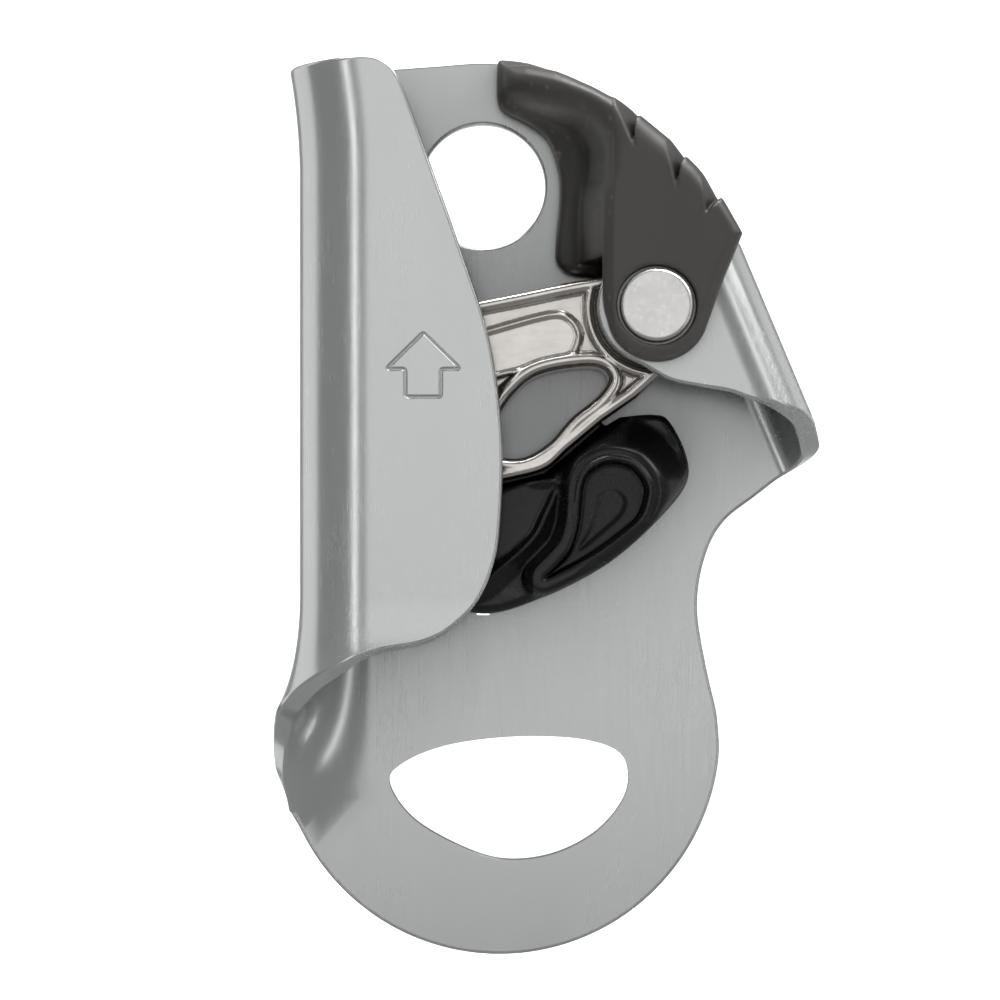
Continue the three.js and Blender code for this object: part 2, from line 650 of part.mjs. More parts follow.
function makeCatchPin() {
  return turned(
    [[0, CAM_BACK + 0.1], [CATCH_PIN_R, CAM_BACK + 0.1], [CATCH_PIN_R, 13.4], [0.9, 13.8], [0, 13.8]],
    CATCH_X,
    CATCH_Z,
    16,
  );
}

// ---------------------------------------------------------------- assembly
const ALUMINIUM = { color: 0xb4b5b7, roughness: 0.32, metalness: 1 };
const PLASTIC = { color: 0x1c1b1b, roughness: 0.5, metalness: 0 };
const STEEL = { color: 0xc9c7c4, roughness: 0.28, metalness: 1 };
const CHROME = { color: 0xd6d0c8, roughness: 0.16, metalness: 1 };
const SPRING_STEEL = { color: 0x8d8c8a, roughness: 0.35, metalness: 1 };

const PIECES = [
  ['frame', makeFrame, ALUMINIUM],
  ['grip_shroud', makeShroud, PLASTIC],
  ['axle_rivet', makeAxle, STEEL],
  ['tail_washer', makeTailWasher, STEEL],
  ['axle_sleeve', makeSleeve, STEEL],
  ['back_thrust_washer', makeBackWasher, STEEL],
  ['front_thrust_washer', makeFrontWasher, STEEL],
  ['cam', makeCam, CHROME],
  ['cam_spring', makeCamSpring, SPRING_STEEL],
  ['catch_lever', makeCatch, PLASTIC],
  ['catch_pin', makeCatchPin, STEEL],
  ['catch_spring', makeCatchSpring, SPRING_STEEL],
];

const ascender = new THREE.Group();
for (const [name, make, finish] of PIECES) {
  const mesh = new THREE.Mesh(toGeometry(make()), new THREE.MeshStandardMaterial(finish));
  mesh.name = name;
  ascender.add(mesh);
}

export default ascender;
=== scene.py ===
"""Compact rope ascender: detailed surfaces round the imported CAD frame.

Shapes are worked out in millimetres, in the CAD row frame: +X to the right, +Y to the back, +Z up.
A "depth" is a distance forwards from the back face of the sheet, so depth d lies at y = -d.
"""
import json
import math

import bpy
import numpy as np
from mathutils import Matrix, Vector, geometry


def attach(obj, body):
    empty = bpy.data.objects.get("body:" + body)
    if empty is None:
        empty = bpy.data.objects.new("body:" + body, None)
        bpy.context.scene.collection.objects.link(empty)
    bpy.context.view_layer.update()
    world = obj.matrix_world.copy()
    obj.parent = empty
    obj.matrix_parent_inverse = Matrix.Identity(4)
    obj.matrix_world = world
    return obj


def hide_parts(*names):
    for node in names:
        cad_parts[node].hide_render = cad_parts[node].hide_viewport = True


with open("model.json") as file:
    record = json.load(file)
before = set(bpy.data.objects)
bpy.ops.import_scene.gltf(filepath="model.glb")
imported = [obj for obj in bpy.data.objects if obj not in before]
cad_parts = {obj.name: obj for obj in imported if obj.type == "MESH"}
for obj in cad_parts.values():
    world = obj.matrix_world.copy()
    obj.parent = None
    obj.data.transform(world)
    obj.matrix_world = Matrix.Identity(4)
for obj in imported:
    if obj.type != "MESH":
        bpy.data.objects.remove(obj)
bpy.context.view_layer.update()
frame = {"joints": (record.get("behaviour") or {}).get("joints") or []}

MM = 0.001
JOINTS = {joint["name"]: joint for joint in frame["joints"]}

# ------------------------------------------------------------------ driving dimensions, mm
PIVOT = tuple(JOINTS["cam_pivot"]["pos_m"][axis] / MM for axis in (0, 2))
CATCH_PIVOT = tuple(JOINTS["catch_pivot"]["pos_m"][axis] / MM for axis in (0, 2))

SHEET = 2.5
CHANNEL = 13.0
PLATE_MID = SHEET / 2
FLAP_MID = SHEET + CHANNEL + SHEET / 2
FLAP_BACK = SHEET + CHANNEL
EAR_FRONT = FLAP_BACK + SHEET
SHEET_EDGE_R = 0.42
UPPER_HOLE_R = 7.6

CHANNEL_X = -13.1
CHANNEL_R = (FLAP_MID - PLATE_MID) / 2
MOUTH_FLARE = 1.2
MOUTH_HEIGHT = 13.5
TRUMPET_TOP = -50.0
TRUMPET_LENGTH = 27.0
TRUMPET_DRIFT = 0.0006
FLATTEST = 0.04
WALL_TOP = 14.3
WALL_TOP_DIP = 0.7

FOLD_TILT = math.radians(22.8)
FOLD_START = 19.33
FOLD_R = 4.9
FOLD_ARC = FOLD_R * math.pi / 2
FOLD_WEB = FLAP_MID - PLATE_MID - 2 * FOLD_R
EAR_START = FOLD_START + 2 * FOLD_ARC + FOLD_WEB
FOLD_TOP = 14.8
FOLD_HEAD = 18.8
ALONG = np.array((math.sin(FOLD_TILT), -math.cos(FOLD_TILT)))
ACROSS = np.array((math.cos(FOLD_TILT), math.sin(FOLD_TILT)))

GAP = 0.3
AXLE_R = 2.6
AXLE_HOLE_R = AXLE_R + GAP
AXLE_HEAD_R = 4.36
AXLE_HEAD_FRONT = 20.5
HEAD_OPENING_R = AXLE_HEAD_R + GAP
TAIL_WASHER_R = 5.4
THRUST_WASHER_R = 6.3
SLEEVE_R = 3.7
CAM_BORE_R = 4.0
CAM_BACK = 4.0
CAM_FRONT = 14.0
CAM_MID = (CAM_BACK + CAM_FRONT) / 2
CAM_LAND = 13.0
HUB_R = 6.6
CATCH_PIN_R = 1.25
CATCH_PIN_HOLE_R = CATCH_PIN_R + GAP
CATCH_BACK = 3.1
CATCH_FRONT = 14.6
SKIN_FRONT = 20.4
SHROUD_BACK = 2.8

CAM_SPRING_R = 4.9
CAM_SPRING_WIRE_R = 0.45
SPRING_POCKET_R = 5.8
SPRING_POCKET_FRONT = 8.2
LEG_RELIEF_R = 7.3
LEG_RELIEF_BACK = 6.4
CATCH_SPRING_R = 2.2
CATCH_SPRING_WIRE_R = 0.3


# ------------------------------------------------------------------ curves and distances
def catmull(points, per_segment=12, closed=False):
    """Uniform Catmull-Rom curve through the points."""
    pts = np.asarray(points, float)
    count = len(pts)
    t = np.linspace(0, 1, per_segment, endpoint=False)[:, None]
    made = []
    for i in range(count if closed else count - 1):
        if closed:
            p0, p1, p2, p3 = (pts[(i + k) % count] for k in (-1, 0, 1, 2))
        else:
            p0, p1, p2, p3 = (pts[min(max(i + k, 0), count - 1)] for k in (-1, 0, 1, 2))
        v0, v1 = (p2 - p0) / 2, (p3 - p1) / 2
        cubic = 2 * (p1 - p2) + v0 + v1
        square = 3 * (p2 - p1) - 2 * v0 - v1
        made.append(cubic * t**3 + square * t**2 + v0 * t + p1)
    if not closed:
        made.append(pts[-1:])
    return np.vstack(made)


def arc(x, z, radius, start, end, steps):
    """Points along a circle's arc, with the angles in degrees."""
    angle = np.radians(np.linspace(start, end, steps + 1))
    return np.stack((x + radius * np.cos(angle), z + radius * np.sin(angle)), 1)


def resample(loop, spacing):
    """Evenly spaced points round a closed loop."""
    closed = np.vstack((loop, loop[:1]))
    length = np.concatenate(([0], np.cumsum(np.linalg.norm(np.diff(closed, axis=0), axis=1))))
    count = int(round(length[-1] / spacing))
    at = np.linspace(0, length[-1], count, endpoint=False)
    return np.stack([np.interp(at, length, closed[:, k]) for k in (0, 1)], 1)


def soften(loop, passes):
    """A closed loop with its corners eased."""
    for _ in range(passes):
        loop = (np.roll(loop, 1, 0) + 2 * loop + np.roll(loop, -1, 0)) / 4
    return loop


def outward(loop):
    """Unit normals of a closed loop that runs anticlockwise."""
    way = np.roll(loop, -1, 0) - np.roll(loop, 1, 0)
    way /= np.linalg.norm(way, axis=1)[:, None]
    return np.stack((way[:, 1], -way[:, 0]), 1)


def distance(polygon, x, z):
    """Signed distance to a closed polygon, negative inside."""
    best = np.full(np.broadcast(x, z).shape, 1e9)
    inside = np.zeros(best.shape, bool)
    for (ax, az), (bx, bz) in zip(polygon, np.roll(polygon, -1, 0)):
        ex, ez = bx - ax, bz - az
        wx, wz = x - ax, z - az
        t = np.clip((wx * ex + wz * ez) / (ex * ex + ez * ez + 1e-12), 0, 1)
        best = np.minimum(best, (wx - ex * t) ** 2 + (wz - ez * t) ** 2)
        inside ^= ((az > z) != (bz > z)) & (x < ex * (z - az) / (bz - az + 1e-12) + ax)
    return np.where(inside, -1, 1) * np.sqrt(best)


def smooth_max(a, b, radius):
    """What two fields have in common, with a rounded edge where they meet."""
    blend = np.maximum(radius - np.abs(a - b), 0) / radius
    return np.maximum(a, b) + blend * blend * radius / 4


def smooth_min(a, b, radius):
    """Two fields joined, with a fillet where they meet."""
    return -smooth_max(-a, -b, radius)


def smooth_step(low, high, value):
    t = np.clip((value - low) / (high - low), 0, 1)
    return t * t * (3 - 2 * t)


# ------------------------------------------------------------------ meshes
def piece(name, points, faces, material, body, replaces, normals=None):
    """A mesh from points in mm that rides on a body and stands for one CAD node."""
    mesh = bpy.data.meshes.new(name)
    mesh.from_pydata((np.asarray(points) * MM).tolist(), [], [list(map(int, f)) for f in faces])
    mesh.validate()
    mesh.shade_smooth()
    if normals is not None:
        mesh.normals_split_custom_set_from_vertices(np.asarray(normals).tolist())
    made = bpy.data.objects.new(name, mesh)
    bpy.context.scene.collection.objects.link(made)
    mesh.materials.append(material)
    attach(made, body)
    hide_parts(replaces)
    return made


def surface_net(field, low, step):
    """Points and quads of the zero surface of a field sampled on a grid, negative inside."""
    cells = tuple(n - 1 for n in field.shape)
    total = np.zeros(cells + (3,))
    count = np.zeros(cells)
    grid = np.indices(field.shape).transpose(1, 2, 3, 0).astype(float)
    edges = []
    for axis in range(3):
        first = [slice(None)] * 3
        second = [slice(None)] * 3
        first[axis], second[axis] = slice(None, -1), slice(1, None)
        a, b = field[tuple(first)], field[tuple(second)]
        crossing = (a < 0) != (b < 0)
        where = np.argwhere(crossing)
        share = (a[crossing] / (a[crossing] - b[crossing]))[:, None]
        at = grid[tuple(first)][crossing] + share * np.eye(3)[axis]
        edges.append((where, a[crossing] < 0))
        sides = [k for k in range(3) if k != axis]
        for da in (0, 1):
            for db in (0, 1):
                cell = where.copy()
                cell[:, sides[0]] -= da
                cell[:, sides[1]] -= db
                index = tuple(cell.T)
                np.add.at(total, index, at)
                np.add.at(count, index, 1)
    used = count > 0
    number = np.full(cells, -1)
    number[used] = np.arange(used.sum())
    points = total[used] / count[used][:, None] * step + np.asarray(low)
    quads = []
    for axis, (where, rising) in enumerate(edges):
        u, v = [(1, 2), (2, 0), (0, 1)][axis]
        corners = []
        for du, dv in ((0, 0), (1, 0), (1, 1), (0, 1)):
            cell = where.copy()
            cell[:, u] -= du
            cell[:, v] -= dv
            corners.append(number[tuple(cell.T)])
        quad = np.stack(corners, 1)
        quads.append(np.where(rising[:, None], quad, quad[:, ::-1]))
    return points, np.vstack(quads)


class Block:
    """A grid of samples over a box of the row frame, with depth measured forwards."""

    def __init__(self, x_range, depth_range, z_range, step):
        self.step = step
        self.low = (x_range[0], -depth_range[1], z_range[0])
        axes = [
            np.arange(low, high + step, step)
            for low, high in (x_range, (-depth_range[1], -depth_range[0]), z_range)
        ]
        self.x = axes[0][:, None, None]
        self.depth = -axes[1][None, :, None]
        self.z = axes[2][None, None, :]

    def plan(self, polygon):
        return distance(polygon, self.x, self.z)

    def circle(self, centre, radius):
        return np.hypot(self.x - centre[0], self.z - centre[1]) - radius

    def between(self, back, front):
        return np.maximum(self.depth - front, back - self.depth)

    def mesh(self, field):
        shape = (self.x.size, self.depth.size, self.z.size)
        return surface_net(np.broadcast_to(field, shape), self.low, self.step)


def lathe(profile, centre, steps=96):
    """Points and faces of a turned piece: the profile is a closed loop of (radius, depth)."""
    loop = np.asarray(profile, float)
    angle = np.linspace(0, 2 * math.pi, steps, endpoint=False)
    x = centre[0] + loop[:, 0][:, None] * np.cos(angle)
    z = centre[1] + loop[:, 0][:, None] * np.sin(angle)
    y = np.broadcast_to(-loop[:, 1][:, None], x.shape)
    points = np.stack((x, y, z), 2).reshape(-1, 3)
    rows = len(loop)
    faces = []
    for i in range(rows):
        j = (i + 1) % rows
        if loop[i, 0] < 0.01 and loop[j, 0] < 0.01:
            continue
        for k in range(steps):
            m = (k + 1) % steps
            faces.append((i * steps + k, j * steps + k, j * steps + m, i * steps + m))
    return points, faces


def rounded(profile, radius, steps=5):
    """A closed profile with its corners rounded."""
    pts = np.asarray(profile, float)
    made = []
    for i, corner in enumerate(pts):
        before, after = pts[i - 1] - corner, pts[(i + 1) % len(pts)] - corner
        lengths = np.linalg.norm(before), np.linalg.norm(after)
        on_axis = corner[0] < 0.01
        cut = 0 if on_axis else min(radius, lengths[0] * 0.45, lengths[1] * 0.45)
        a = corner + before / lengths[0] * cut
        b = corner + after / lengths[1] * cut
        t = np.linspace(0, 1, steps)[:, None]
        made.append((1 - t) ** 2 * a + 2 * t * (1 - t) * corner + t**2 * b)
    return np.vstack(made)


def turned(name, profile, centre, material, body, replaces, radius=0.25):
    points, faces = lathe(rounded(profile, radius), centre)
    return piece(name, points, faces, material, body, replaces)


def wire(name, route, radius, material, body, replaces, sides=14):
    """A round wire swept along a smooth route of 3-D points, with rounded ends."""
    path = catmull(route, 6)
    way = np.gradient(path, axis=0)
    way /= np.linalg.norm(way, axis=1)[:, None]
    side = np.cross(way[0], (0.3, 1.0, 0.2))
    rings = []
    for i, (point, ahead) in enumerate(zip(path, way)):
        side = side - ahead * side.dot(ahead)
        side /= np.linalg.norm(side)
        up = np.cross(ahead, side)
        angle = np.linspace(0, 2 * math.pi, sides, endpoint=False)[:, None]
        size = radius * (0.6 if i in (0, len(path) - 1) else 1)
        rings.append(point + size * (np.cos(angle) * side + np.sin(angle) * up))
    points = np.vstack(rings)
    faces = [tuple(range(sides))[::-1]]
    for i in range(len(path) - 1):
        for k in range(sides):
            m = (k + 1) % sides
            faces.append((i * sides + k, i * sides + m, (i + 1) * sides + m, (i + 1) * sides + k))
    faces.append(tuple((len(path) - 1) * sides + k for k in range(sides)))
    return piece(name, points, faces, material, body, replaces)


# ------------------------------------------------------------------ folded sheet
def channel_bend(z):
    """Where the channel wall starts, and its radius, at height z: it opens at the foot and mouth."""
    below = np.maximum(0, TRUMPET_TOP - z)
    above = np.maximum(0, z) / MOUTH_HEIGHT
    curvature = np.maximum(FLATTEST, 1 - (below / TRUMPET_LENGTH) ** 2)
    start = CHANNEL_X + TRUMPET_DRIFT * below**2 - MOUTH_FLARE * above**2
    return start, CHANNEL_R / curvature


def bent(flat):
    """Middle surface of the bent sheet for points (s, z) of the flat sheet."""
    s, z = flat[:, 0], flat[:, 1]
    start, radius = channel_bend(z)
    angle = np.clip((start - s) / radius, 0, None)
    wall = np.minimum(angle, math.pi)
    x = np.where(
        angle > math.pi,
        start + radius * (angle - math.pi),
        np.where(angle > 0, start - radius * np.sin(wall), s),
    )
    depth = PLATE_MID + radius * (1 - np.cos(wall))
    made = np.stack((x, -depth, z), 1)

    along, across = flat @ ALONG, flat @ ACROSS
    past = across - FOLD_START
    first = np.clip(past, 0, FOLD_ARC) / FOLD_R
    web = np.clip(past - FOLD_ARC, 0, FOLD_WEB)
    second = np.clip(past - FOLD_ARC - FOLD_WEB, 0, FOLD_ARC) / FOLD_R
    ear = np.clip(past - 2 * FOLD_ARC - FOLD_WEB, 0, None)
    reach = FOLD_START + FOLD_R * np.sin(first) - FOLD_R * (1 - np.cos(second)) - ear
    fold_depth = PLATE_MID + FOLD_R * (1 - np.cos(first)) + web + FOLD_R * np.sin(second)
    plan = along[:, None] * ALONG + reach[:, None] * ACROSS
    fold = np.stack((plan[:, 0], -fold_depth, plan[:, 1]), 1)
    return np.where(((past > 0) & (along > FOLD_TOP))[:, None], fold, made)


def bent_normal(flat):
    """Unit normals of the bent sheet, on the side that faces the viewer on the plate."""
    step = 1e-3
    right = bent(flat + (step, 0)) - bent(flat - (step, 0))
    up = bent(flat + (0, step)) - bent(flat - (0, step))
    normal = np.cross(right, up)
    return normal / np.linalg.norm(normal, axis=1)[:, None]


def on_flap(points):
    """Flat sheet places of points (x, z) seen on the flap."""
    points = np.asarray(points, float)
    start, radius = channel_bend(points[:, 1])
    return np.stack((2 * start - math.pi * radius - points[:, 0], points[:, 1]), 1)


def on_wall(degrees, z):
    """Flat sheet places of points on the channel wall, by how far round it they are."""
    start, radius = channel_bend(np.asarray(z, float))
    return np.stack((start - radius * np.radians(degrees), z), 1)


def on_fold(points):
    """Flat sheet places of points given along and across the leaning fold."""
    points = np.asarray(points, float)
    return points[:, :1] * ALONG + points[:, 1:] * ACROSS


def ear_across(across):
    return EAR_START + FOLD_START - across


FLAP_EDGE = [
    (-12.4, 14.1), (-11.1, 13.3), (-10, 11.9), (-8.45, 7.9), (-6.4, 2.1), (-3, -7.4),
    (0.8, -19.2), (2.35, -31), (2.05, -42), (1.1, -46.8),
]
FLAP_FOOT = [
    (-0.3, -50), (-1.4, -51.5), (-2.9, -53), (-4.9, -54.5), (-7.7, -55.6), (-10.8, -56.1),
]
WALL_FOOT = [
    (180, -56.5), (150, -58.8), (122, -61.2), (103, -63.2), (84, -64.6), (65, -66.9), (50, -69.1),
    (36, -71.3), (20.8, -73.6), (11.4, -75.1), (3.3, -76.5),
]
LIP_CENTRE = (2, -67)
LIP_R = 27.1
EAR_TIP_R = 7
FOLD_FOOT = [(47, 20), (46.4, 25), (45, 29), (43, 32), (40.4, 35.2), (37, 40.5)]
LOWER_HOLE = [
    (-11.9, -73), (-9.9, -70.2), (-4.1, -67.95), (4.5, -66.95), (12.8, -67.4), (17.4, -69.5),
    (18, -74.2), (14.6, -79), (9, -82.1), (2.7, -82.9), (-3, -81.2), (-9, -77.6),
]


def sheet_outline():
    """Outline of the flat sheet, anticlockwise from the lower left."""
    bottom = arc(*LIP_CENTRE, LIP_R, 204, 356, 120)
    waist = catmull(
        [(28.7, -64.5), (27.3, -58.5), (26.25, -51.5), (27.2, -45.4), (29.4, -41.1), (33.2, -38.1)]
    )
    pivot = np.array(PIVOT)
    tip_centre = pivot @ ALONG, ear_across(pivot @ ACROSS)
    foot = catmull(FOLD_FOOT)
    foot[:, 1] = np.linspace(FOLD_START, EAR_START, len(foot))
    ear_foot = [(34.9, ear_across(17.2)), (32.9, ear_across(13.9)), (31, ear_across(11))]
    ear_tip = arc(*tip_centre, EAR_TIP_R, 40, 180, 40)
    head = [(17.2, ear_across(16)), (FOLD_HEAD, EAR_START), (FOLD_HEAD, FOLD_START)]
    relief = [(18.4, FOLD_START - 0.4), (16.5, FOLD_START - 0.9), (14.6, FOLD_START - 0.3)]
    corner = [(14.2, 21), (14.2, 23.6)]
    fold = on_fold(np.vstack((foot, ear_foot, ear_tip, head, relief, corner)))
    shoulder = catmull([(26.6, -2.6), (21.8, 3.2), (15.6, 8.9), (8.6, 13.2), (2, 15.25), (-6, 14.9)])
    round_wall = np.linspace(0, 180, 40)
    mouth = on_wall(round_wall, WALL_TOP - WALL_TOP_DIP * np.sin(np.radians(round_wall)))
    flap = on_flap(catmull(FLAP_EDGE + FLAP_FOOT))
    wall_foot = np.array(WALL_FOOT)
    lip = catmull(on_wall(wall_foot[:, 0], wall_foot[:, 1]))
    return np.vstack((bottom, waist, fold, shoulder, mouth, flap, lip))


MARK_OFFSETS = (-0.32, -0.16, 0, 0.16, 0.32)
MARK_DEPTH = 0.2
MARK_TILT = 0.7


def arrow_loop():
    """Outline of the plain direction arrow engraved on the flap."""
    tip, wing, neck, tail = -18.6, -22.9, -22.9, -26.2
    half_wing, half_shaft, middle = 4.4, 2.1, -7.0
    half = [(0, tip), (half_wing, wing), (half_shaft, neck), (half_shaft, tail)]
    right = [(middle + x, z) for x, z in half]
    left = [(middle - x, z) for x, z in reversed(half[1:])]
    return np.array(right + left)


def bend_points():
    """Points inside the sheet that let it follow its bends."""
    rows = np.arange(-76, 14.2, 1.3)
    angles = np.arange(0, 181, 5)
    wall = [on_wall(angles + 2.5 * (i % 2), np.full(angles.size, z)) for i, z in enumerate(rows)]
    foot_x, foot_z = np.meshgrid(np.arange(-12, 2, 1.5), np.arange(-56, -49, 1.2))
    foot = on_flap(np.stack((foot_x.ravel(), foot_z.ravel()), 1))
    across = np.concatenate(
        [first + np.linspace(0, FOLD_ARC, 19) for first in (FOLD_START, EAR_START - FOLD_ARC)]
    )
    along = np.arange(FOLD_HEAD + 0.8, 48, 1.3)
    fold = on_fold(np.stack([grid.ravel() for grid in np.meshgrid(along, across)], 1))
    return np.vstack(wall + [foot, fold])


def sheet_loops():
    """The sheet's outline and holes, drawn in by their edge radius, with their outward ways."""
    spacing = 0.55
    outline = soften(resample(sheet_outline(), spacing), 4)
    axle = on_fold([(np.array(PIVOT) @ ALONG, ear_across(np.array(PIVOT) @ ACROSS))])[0]
    drain = resample(np.array([(-0.9, -51.9), (0.9, -51.9), (0.9, -52.7), (-0.9, -52.7)]), 0.2)
    holes = [
        arc(0, 0, UPPER_HOLE_R, 0, 360, 90)[:-1],
        resample(catmull(LOWER_HOLE, closed=True), spacing),
        soften(drain, 1),
        arc(*PIVOT, AXLE_HOLE_R, 0, 360, 48)[:-1],
        arc(*axle, AXLE_HOLE_R, 0, 360, 48)[:-1],
    ]
    radii = [SHEET_EDGE_R, SHEET_EDGE_R, SHEET_EDGE_R, 0.12, 0.25, 0.25]
    loops, ways = [], []
    for i, (loop, radius) in enumerate(zip([outline, *holes], radii)):
        away = outward(loop) * (1 if i == 0 else -1)
        loops.append(loop - away * radius)
        ways.append(away)
    return loops, ways, radii


def flat_triangles(loops, marks):
    """The flat sheet in triangles that follow its loops, its marks and its bends."""
    inner = bend_points()
    clear = distance(loops[0], inner[:, 0], inner[:, 1]) < -0.5
    for loop in loops[1:]:
        clear &= distance(loop, inner[:, 0], inner[:, 1]) > 0.5

    rings = [*loops, *marks]
    starts = np.cumsum([0] + [len(ring) for ring in rings])
    edges = [
        (start + k, start + (k + 1) % len(ring))
        for start, ring in zip(starts, rings)
        for k in range(len(ring))
    ]
    verts, _, faces, origins, _, _ = geometry.delaunay_2d_cdt(
        [Vector(p) for p in np.vstack([*rings, inner[clear]])], edges, [], 0, 1e-5, True
    )
    flat = np.array([tuple(v) for v in verts])
    faces = np.array(faces)
    centres = flat[faces].mean(1)
    keep = distance(loops[0], centres[:, 0], centres[:, 1]) < 0
    for loop in loops[1:]:
        keep &= distance(loop, centres[:, 0], centres[:, 1]) > 0
    number = {old: new for new, olds in enumerate(origins) for old in olds}
    owners = [
        np.array([number[start + k] for k in range(len(ring))]) for start, ring in zip(starts, rings)
    ]
    return flat, faces[keep], owners


def engrave(count, arrow, marks, owners):
    """Depth of the arrow's groove at each point, and how its sides lean the normals."""
    depth = np.zeros(count)
    lean = np.zeros((count, 3))
    away = outward(arrow)
    for owner, mark, offset in zip(owners, marks, MARK_OFFSETS):
        depth[owner] = MARK_DEPTH * (1 - abs(offset) / MARK_OFFSETS[-1])
        slope = bent(mark + away * 1e-3) - bent(mark - away * 1e-3)
        slope /= np.linalg.norm(slope, axis=1)[:, None]
        steep = 0 if abs(offset) in (0, MARK_OFFSETS[-1]) else math.copysign(MARK_TILT, offset)
        lean[owner] = -slope * steep
    return depth, lean


def edge_profile(radius):
    """Offset, height and angle round a rounded edge of the sheet, from front to back."""
    half = SHEET / 2
    quarter = np.radians(np.linspace(90, 0, 6))[1:]
    profile = [(radius * math.cos(a), half - radius * (1 - math.sin(a)), a) for a in quarter]
    return profile + [(x, -h, -a) for x, h, a in reversed(profile)]


def make_sheet(material):
    loops, ways, radii = sheet_loops()
    arrow = on_flap(soften(resample(arrow_loop(), 0.3), 1))
    marks = [arrow + outward(arrow) * offset for offset in MARK_OFFSETS]
    flat, faces, owners = flat_triangles(loops, marks)
    count = len(flat)
    middle, normal = bent(flat), bent_normal(flat)
    engraved, lean = engrave(count, arrow, marks, owners[len(loops):])

    half = SHEET / 2
    points = [middle + normal * half, middle - normal * (half - engraved)[:, None]]
    normals = [normal, lean - normal]
    made = [faces, faces[:, ::-1] + count]
    total = 2 * count
    for i, (ring, away, radius) in enumerate(zip(loops, ways, radii)):
        rows = [owners[i]]
        for offset, height, angle in edge_profile(radius):
            at = ring + away * offset
            up = bent_normal(at)
            ahead = bent(at + away * 1e-3) - bent(at - away * 1e-3)
            ahead /= np.linalg.norm(ahead, axis=1)[:, None]
            points.append(bent(at) + up * height)
            normals.append(up * math.sin(angle) + ahead * math.cos(angle))
            rows.append(total + np.arange(len(ring)))
            total += len(ring)
        rows.append(owners[i] + count)
        flip = 1 if i == 0 else -1
        for above, below in zip(rows[:-1], rows[1:]):
            quad = np.stack((above, below, np.roll(below, -1), np.roll(above, -1)), 1)
            made.append(quad[:, ::flip])
    all_faces = [face for part in made for face in part.tolist()]
    return piece(
        "sheet_body", np.vstack(points), all_faces, material, "body", "frame",
        normals=np.vstack(normals),
    )


# ------------------------------------------------------------------ grip shroud
SHOULDER = [
    (30.75, -6.9), (28.5, -2.9), (25.6, 1), (22.3, 4.4), (17.8, 8.1), (13.2, 10.9), (8.9, 13.1),
    (5.4, 14.2), (2.2, 14.5),
]
FLANGE = [
    (14.9, -9.6), (14.9, 9.6), (12.9, 10.9), (8.9, 13.2), (5.4, 14.4), (2.6, 14.8), (2.2, 14.2),
    (2.3, 9.8), (5.2, 7.9), (7.7, 5.8), (9, 2.6), (9.4, -0.8), (8.9, -7.2), (9, -9.4), (10.2, -10.7),
    (12.5, -11.2),
]
RIDGE = [(1, 12.6), (4.6, 11.9), (9, 10), (13.1, 7.6), (15, 4.5), (15, 0), (14.5, -3.4), (14.45, -18)]
BROW_X = (-1, 2, 6, 10, 15.5)
BROW_DEPTH = (7, 9.6, 13.5, 17.3, SKIN_FRONT)
GROOVES = [
    [(14.4, 11.4), (15.3, 9), (17.8, 3.4), (17.55, 9), (18.6, 11)],
    [(20.6, 6.6), (21.6, 4.2), (22.8, -1.4), (23.3, 1.9), (24.8, 4)],
    [(25.2, 2.2), (26, -0.6), (26.3, -4.6), (27.6, -3.2), (29.4, -1.4)],
]
BROW_END = BROW_X[-1]
BROW_SLOPE = 0.75
FLANGE_FRONT = 6.2
WALL_LEAN = 0.2
WALL_DEPTH = 15
GROOVE_LEAN = 0.5
GROOVE_BACK = 9
GRIP_STEP = 0.22
FINE_STEP = 0.2


def cut_grooves(grid, made):
    """Finger grooves that lean as they go in."""
    lean = GROOVE_LEAN * (SKIN_FRONT - grid.depth).ravel()
    for groove in GROOVES:
        polygon = np.array(groove)
        cut = np.stack([
            distance(polygon, grid.x[:, 0] - 0.64 * shift, grid.z[0] - 0.77 * shift) for shift in lean
        ], 1)
        made = smooth_max(made, -np.maximum(cut, GROOVE_BACK - grid.depth), 0.45)
    return made


def make_shroud(material):
    grid = Block((1, 32), (SHROUD_BACK - 0.8, SKIN_FRONT + 0.8), (-23.2, 16.4), GRIP_STEP)
    sunk = SKIN_FRONT - grid.depth
    back = SHROUD_BACK - grid.depth
    brow = np.interp(grid.x, BROW_X, BROW_DEPTH)
    front = (grid.depth - brow) * np.where(grid.x < BROW_END, BROW_SLOPE, 1)

    held = grid.plan(np.array([(14, -9.6), (24.6, -5.5), (25.8, -9), *SHOULDER, (2.2, 9), (9, -9.6)]))
    held = np.minimum(held, EAR_FRONT + GAP - grid.depth)
    rivet_end = arc(PIVOT[0] + 0.1, PIVOT[1] - 0.5, 6.15, -155, -25, 24)
    outline = np.vstack((rivet_end, [(28.2, -13.1)], SHOULDER, [(2.2, 9), (9, -9.6), (14.45, -17)]))
    recess = grid.plan(np.vstack((catmull(RIDGE, 8), [(-4, -18), (-4, 13.2)])))
    roundness = 1.7 + 1.9 * smooth_step(-6, 5, grid.z)
    block = smooth_max(grid.plan(outline), front, roundness)
    block = smooth_max(block, -recess - WALL_LEAN * np.minimum(sunk, WALL_DEPTH), roundness * 0.7)
    block = smooth_max(block, held, 0.4)
    block = smooth_max(block, back, 0.6)

    flange = smooth_max(grid.plan(catmull(FLANGE, 4, closed=True)), grid.depth - FLANGE_FRONT, 1.2)
    flange = smooth_max(flange, back, 0.5)
    made = cut_grooves(grid, smooth_min(block, flange, 2.0))
    opening = np.maximum(grid.circle(PIVOT, HEAD_OPENING_R), EAR_FRONT - grid.depth)
    made = smooth_max(made, -opening, 0.5)
    points, quads = grid.mesh(made)
    return piece("grip_moulding", points, quads, material, "body", "grip_shroud")


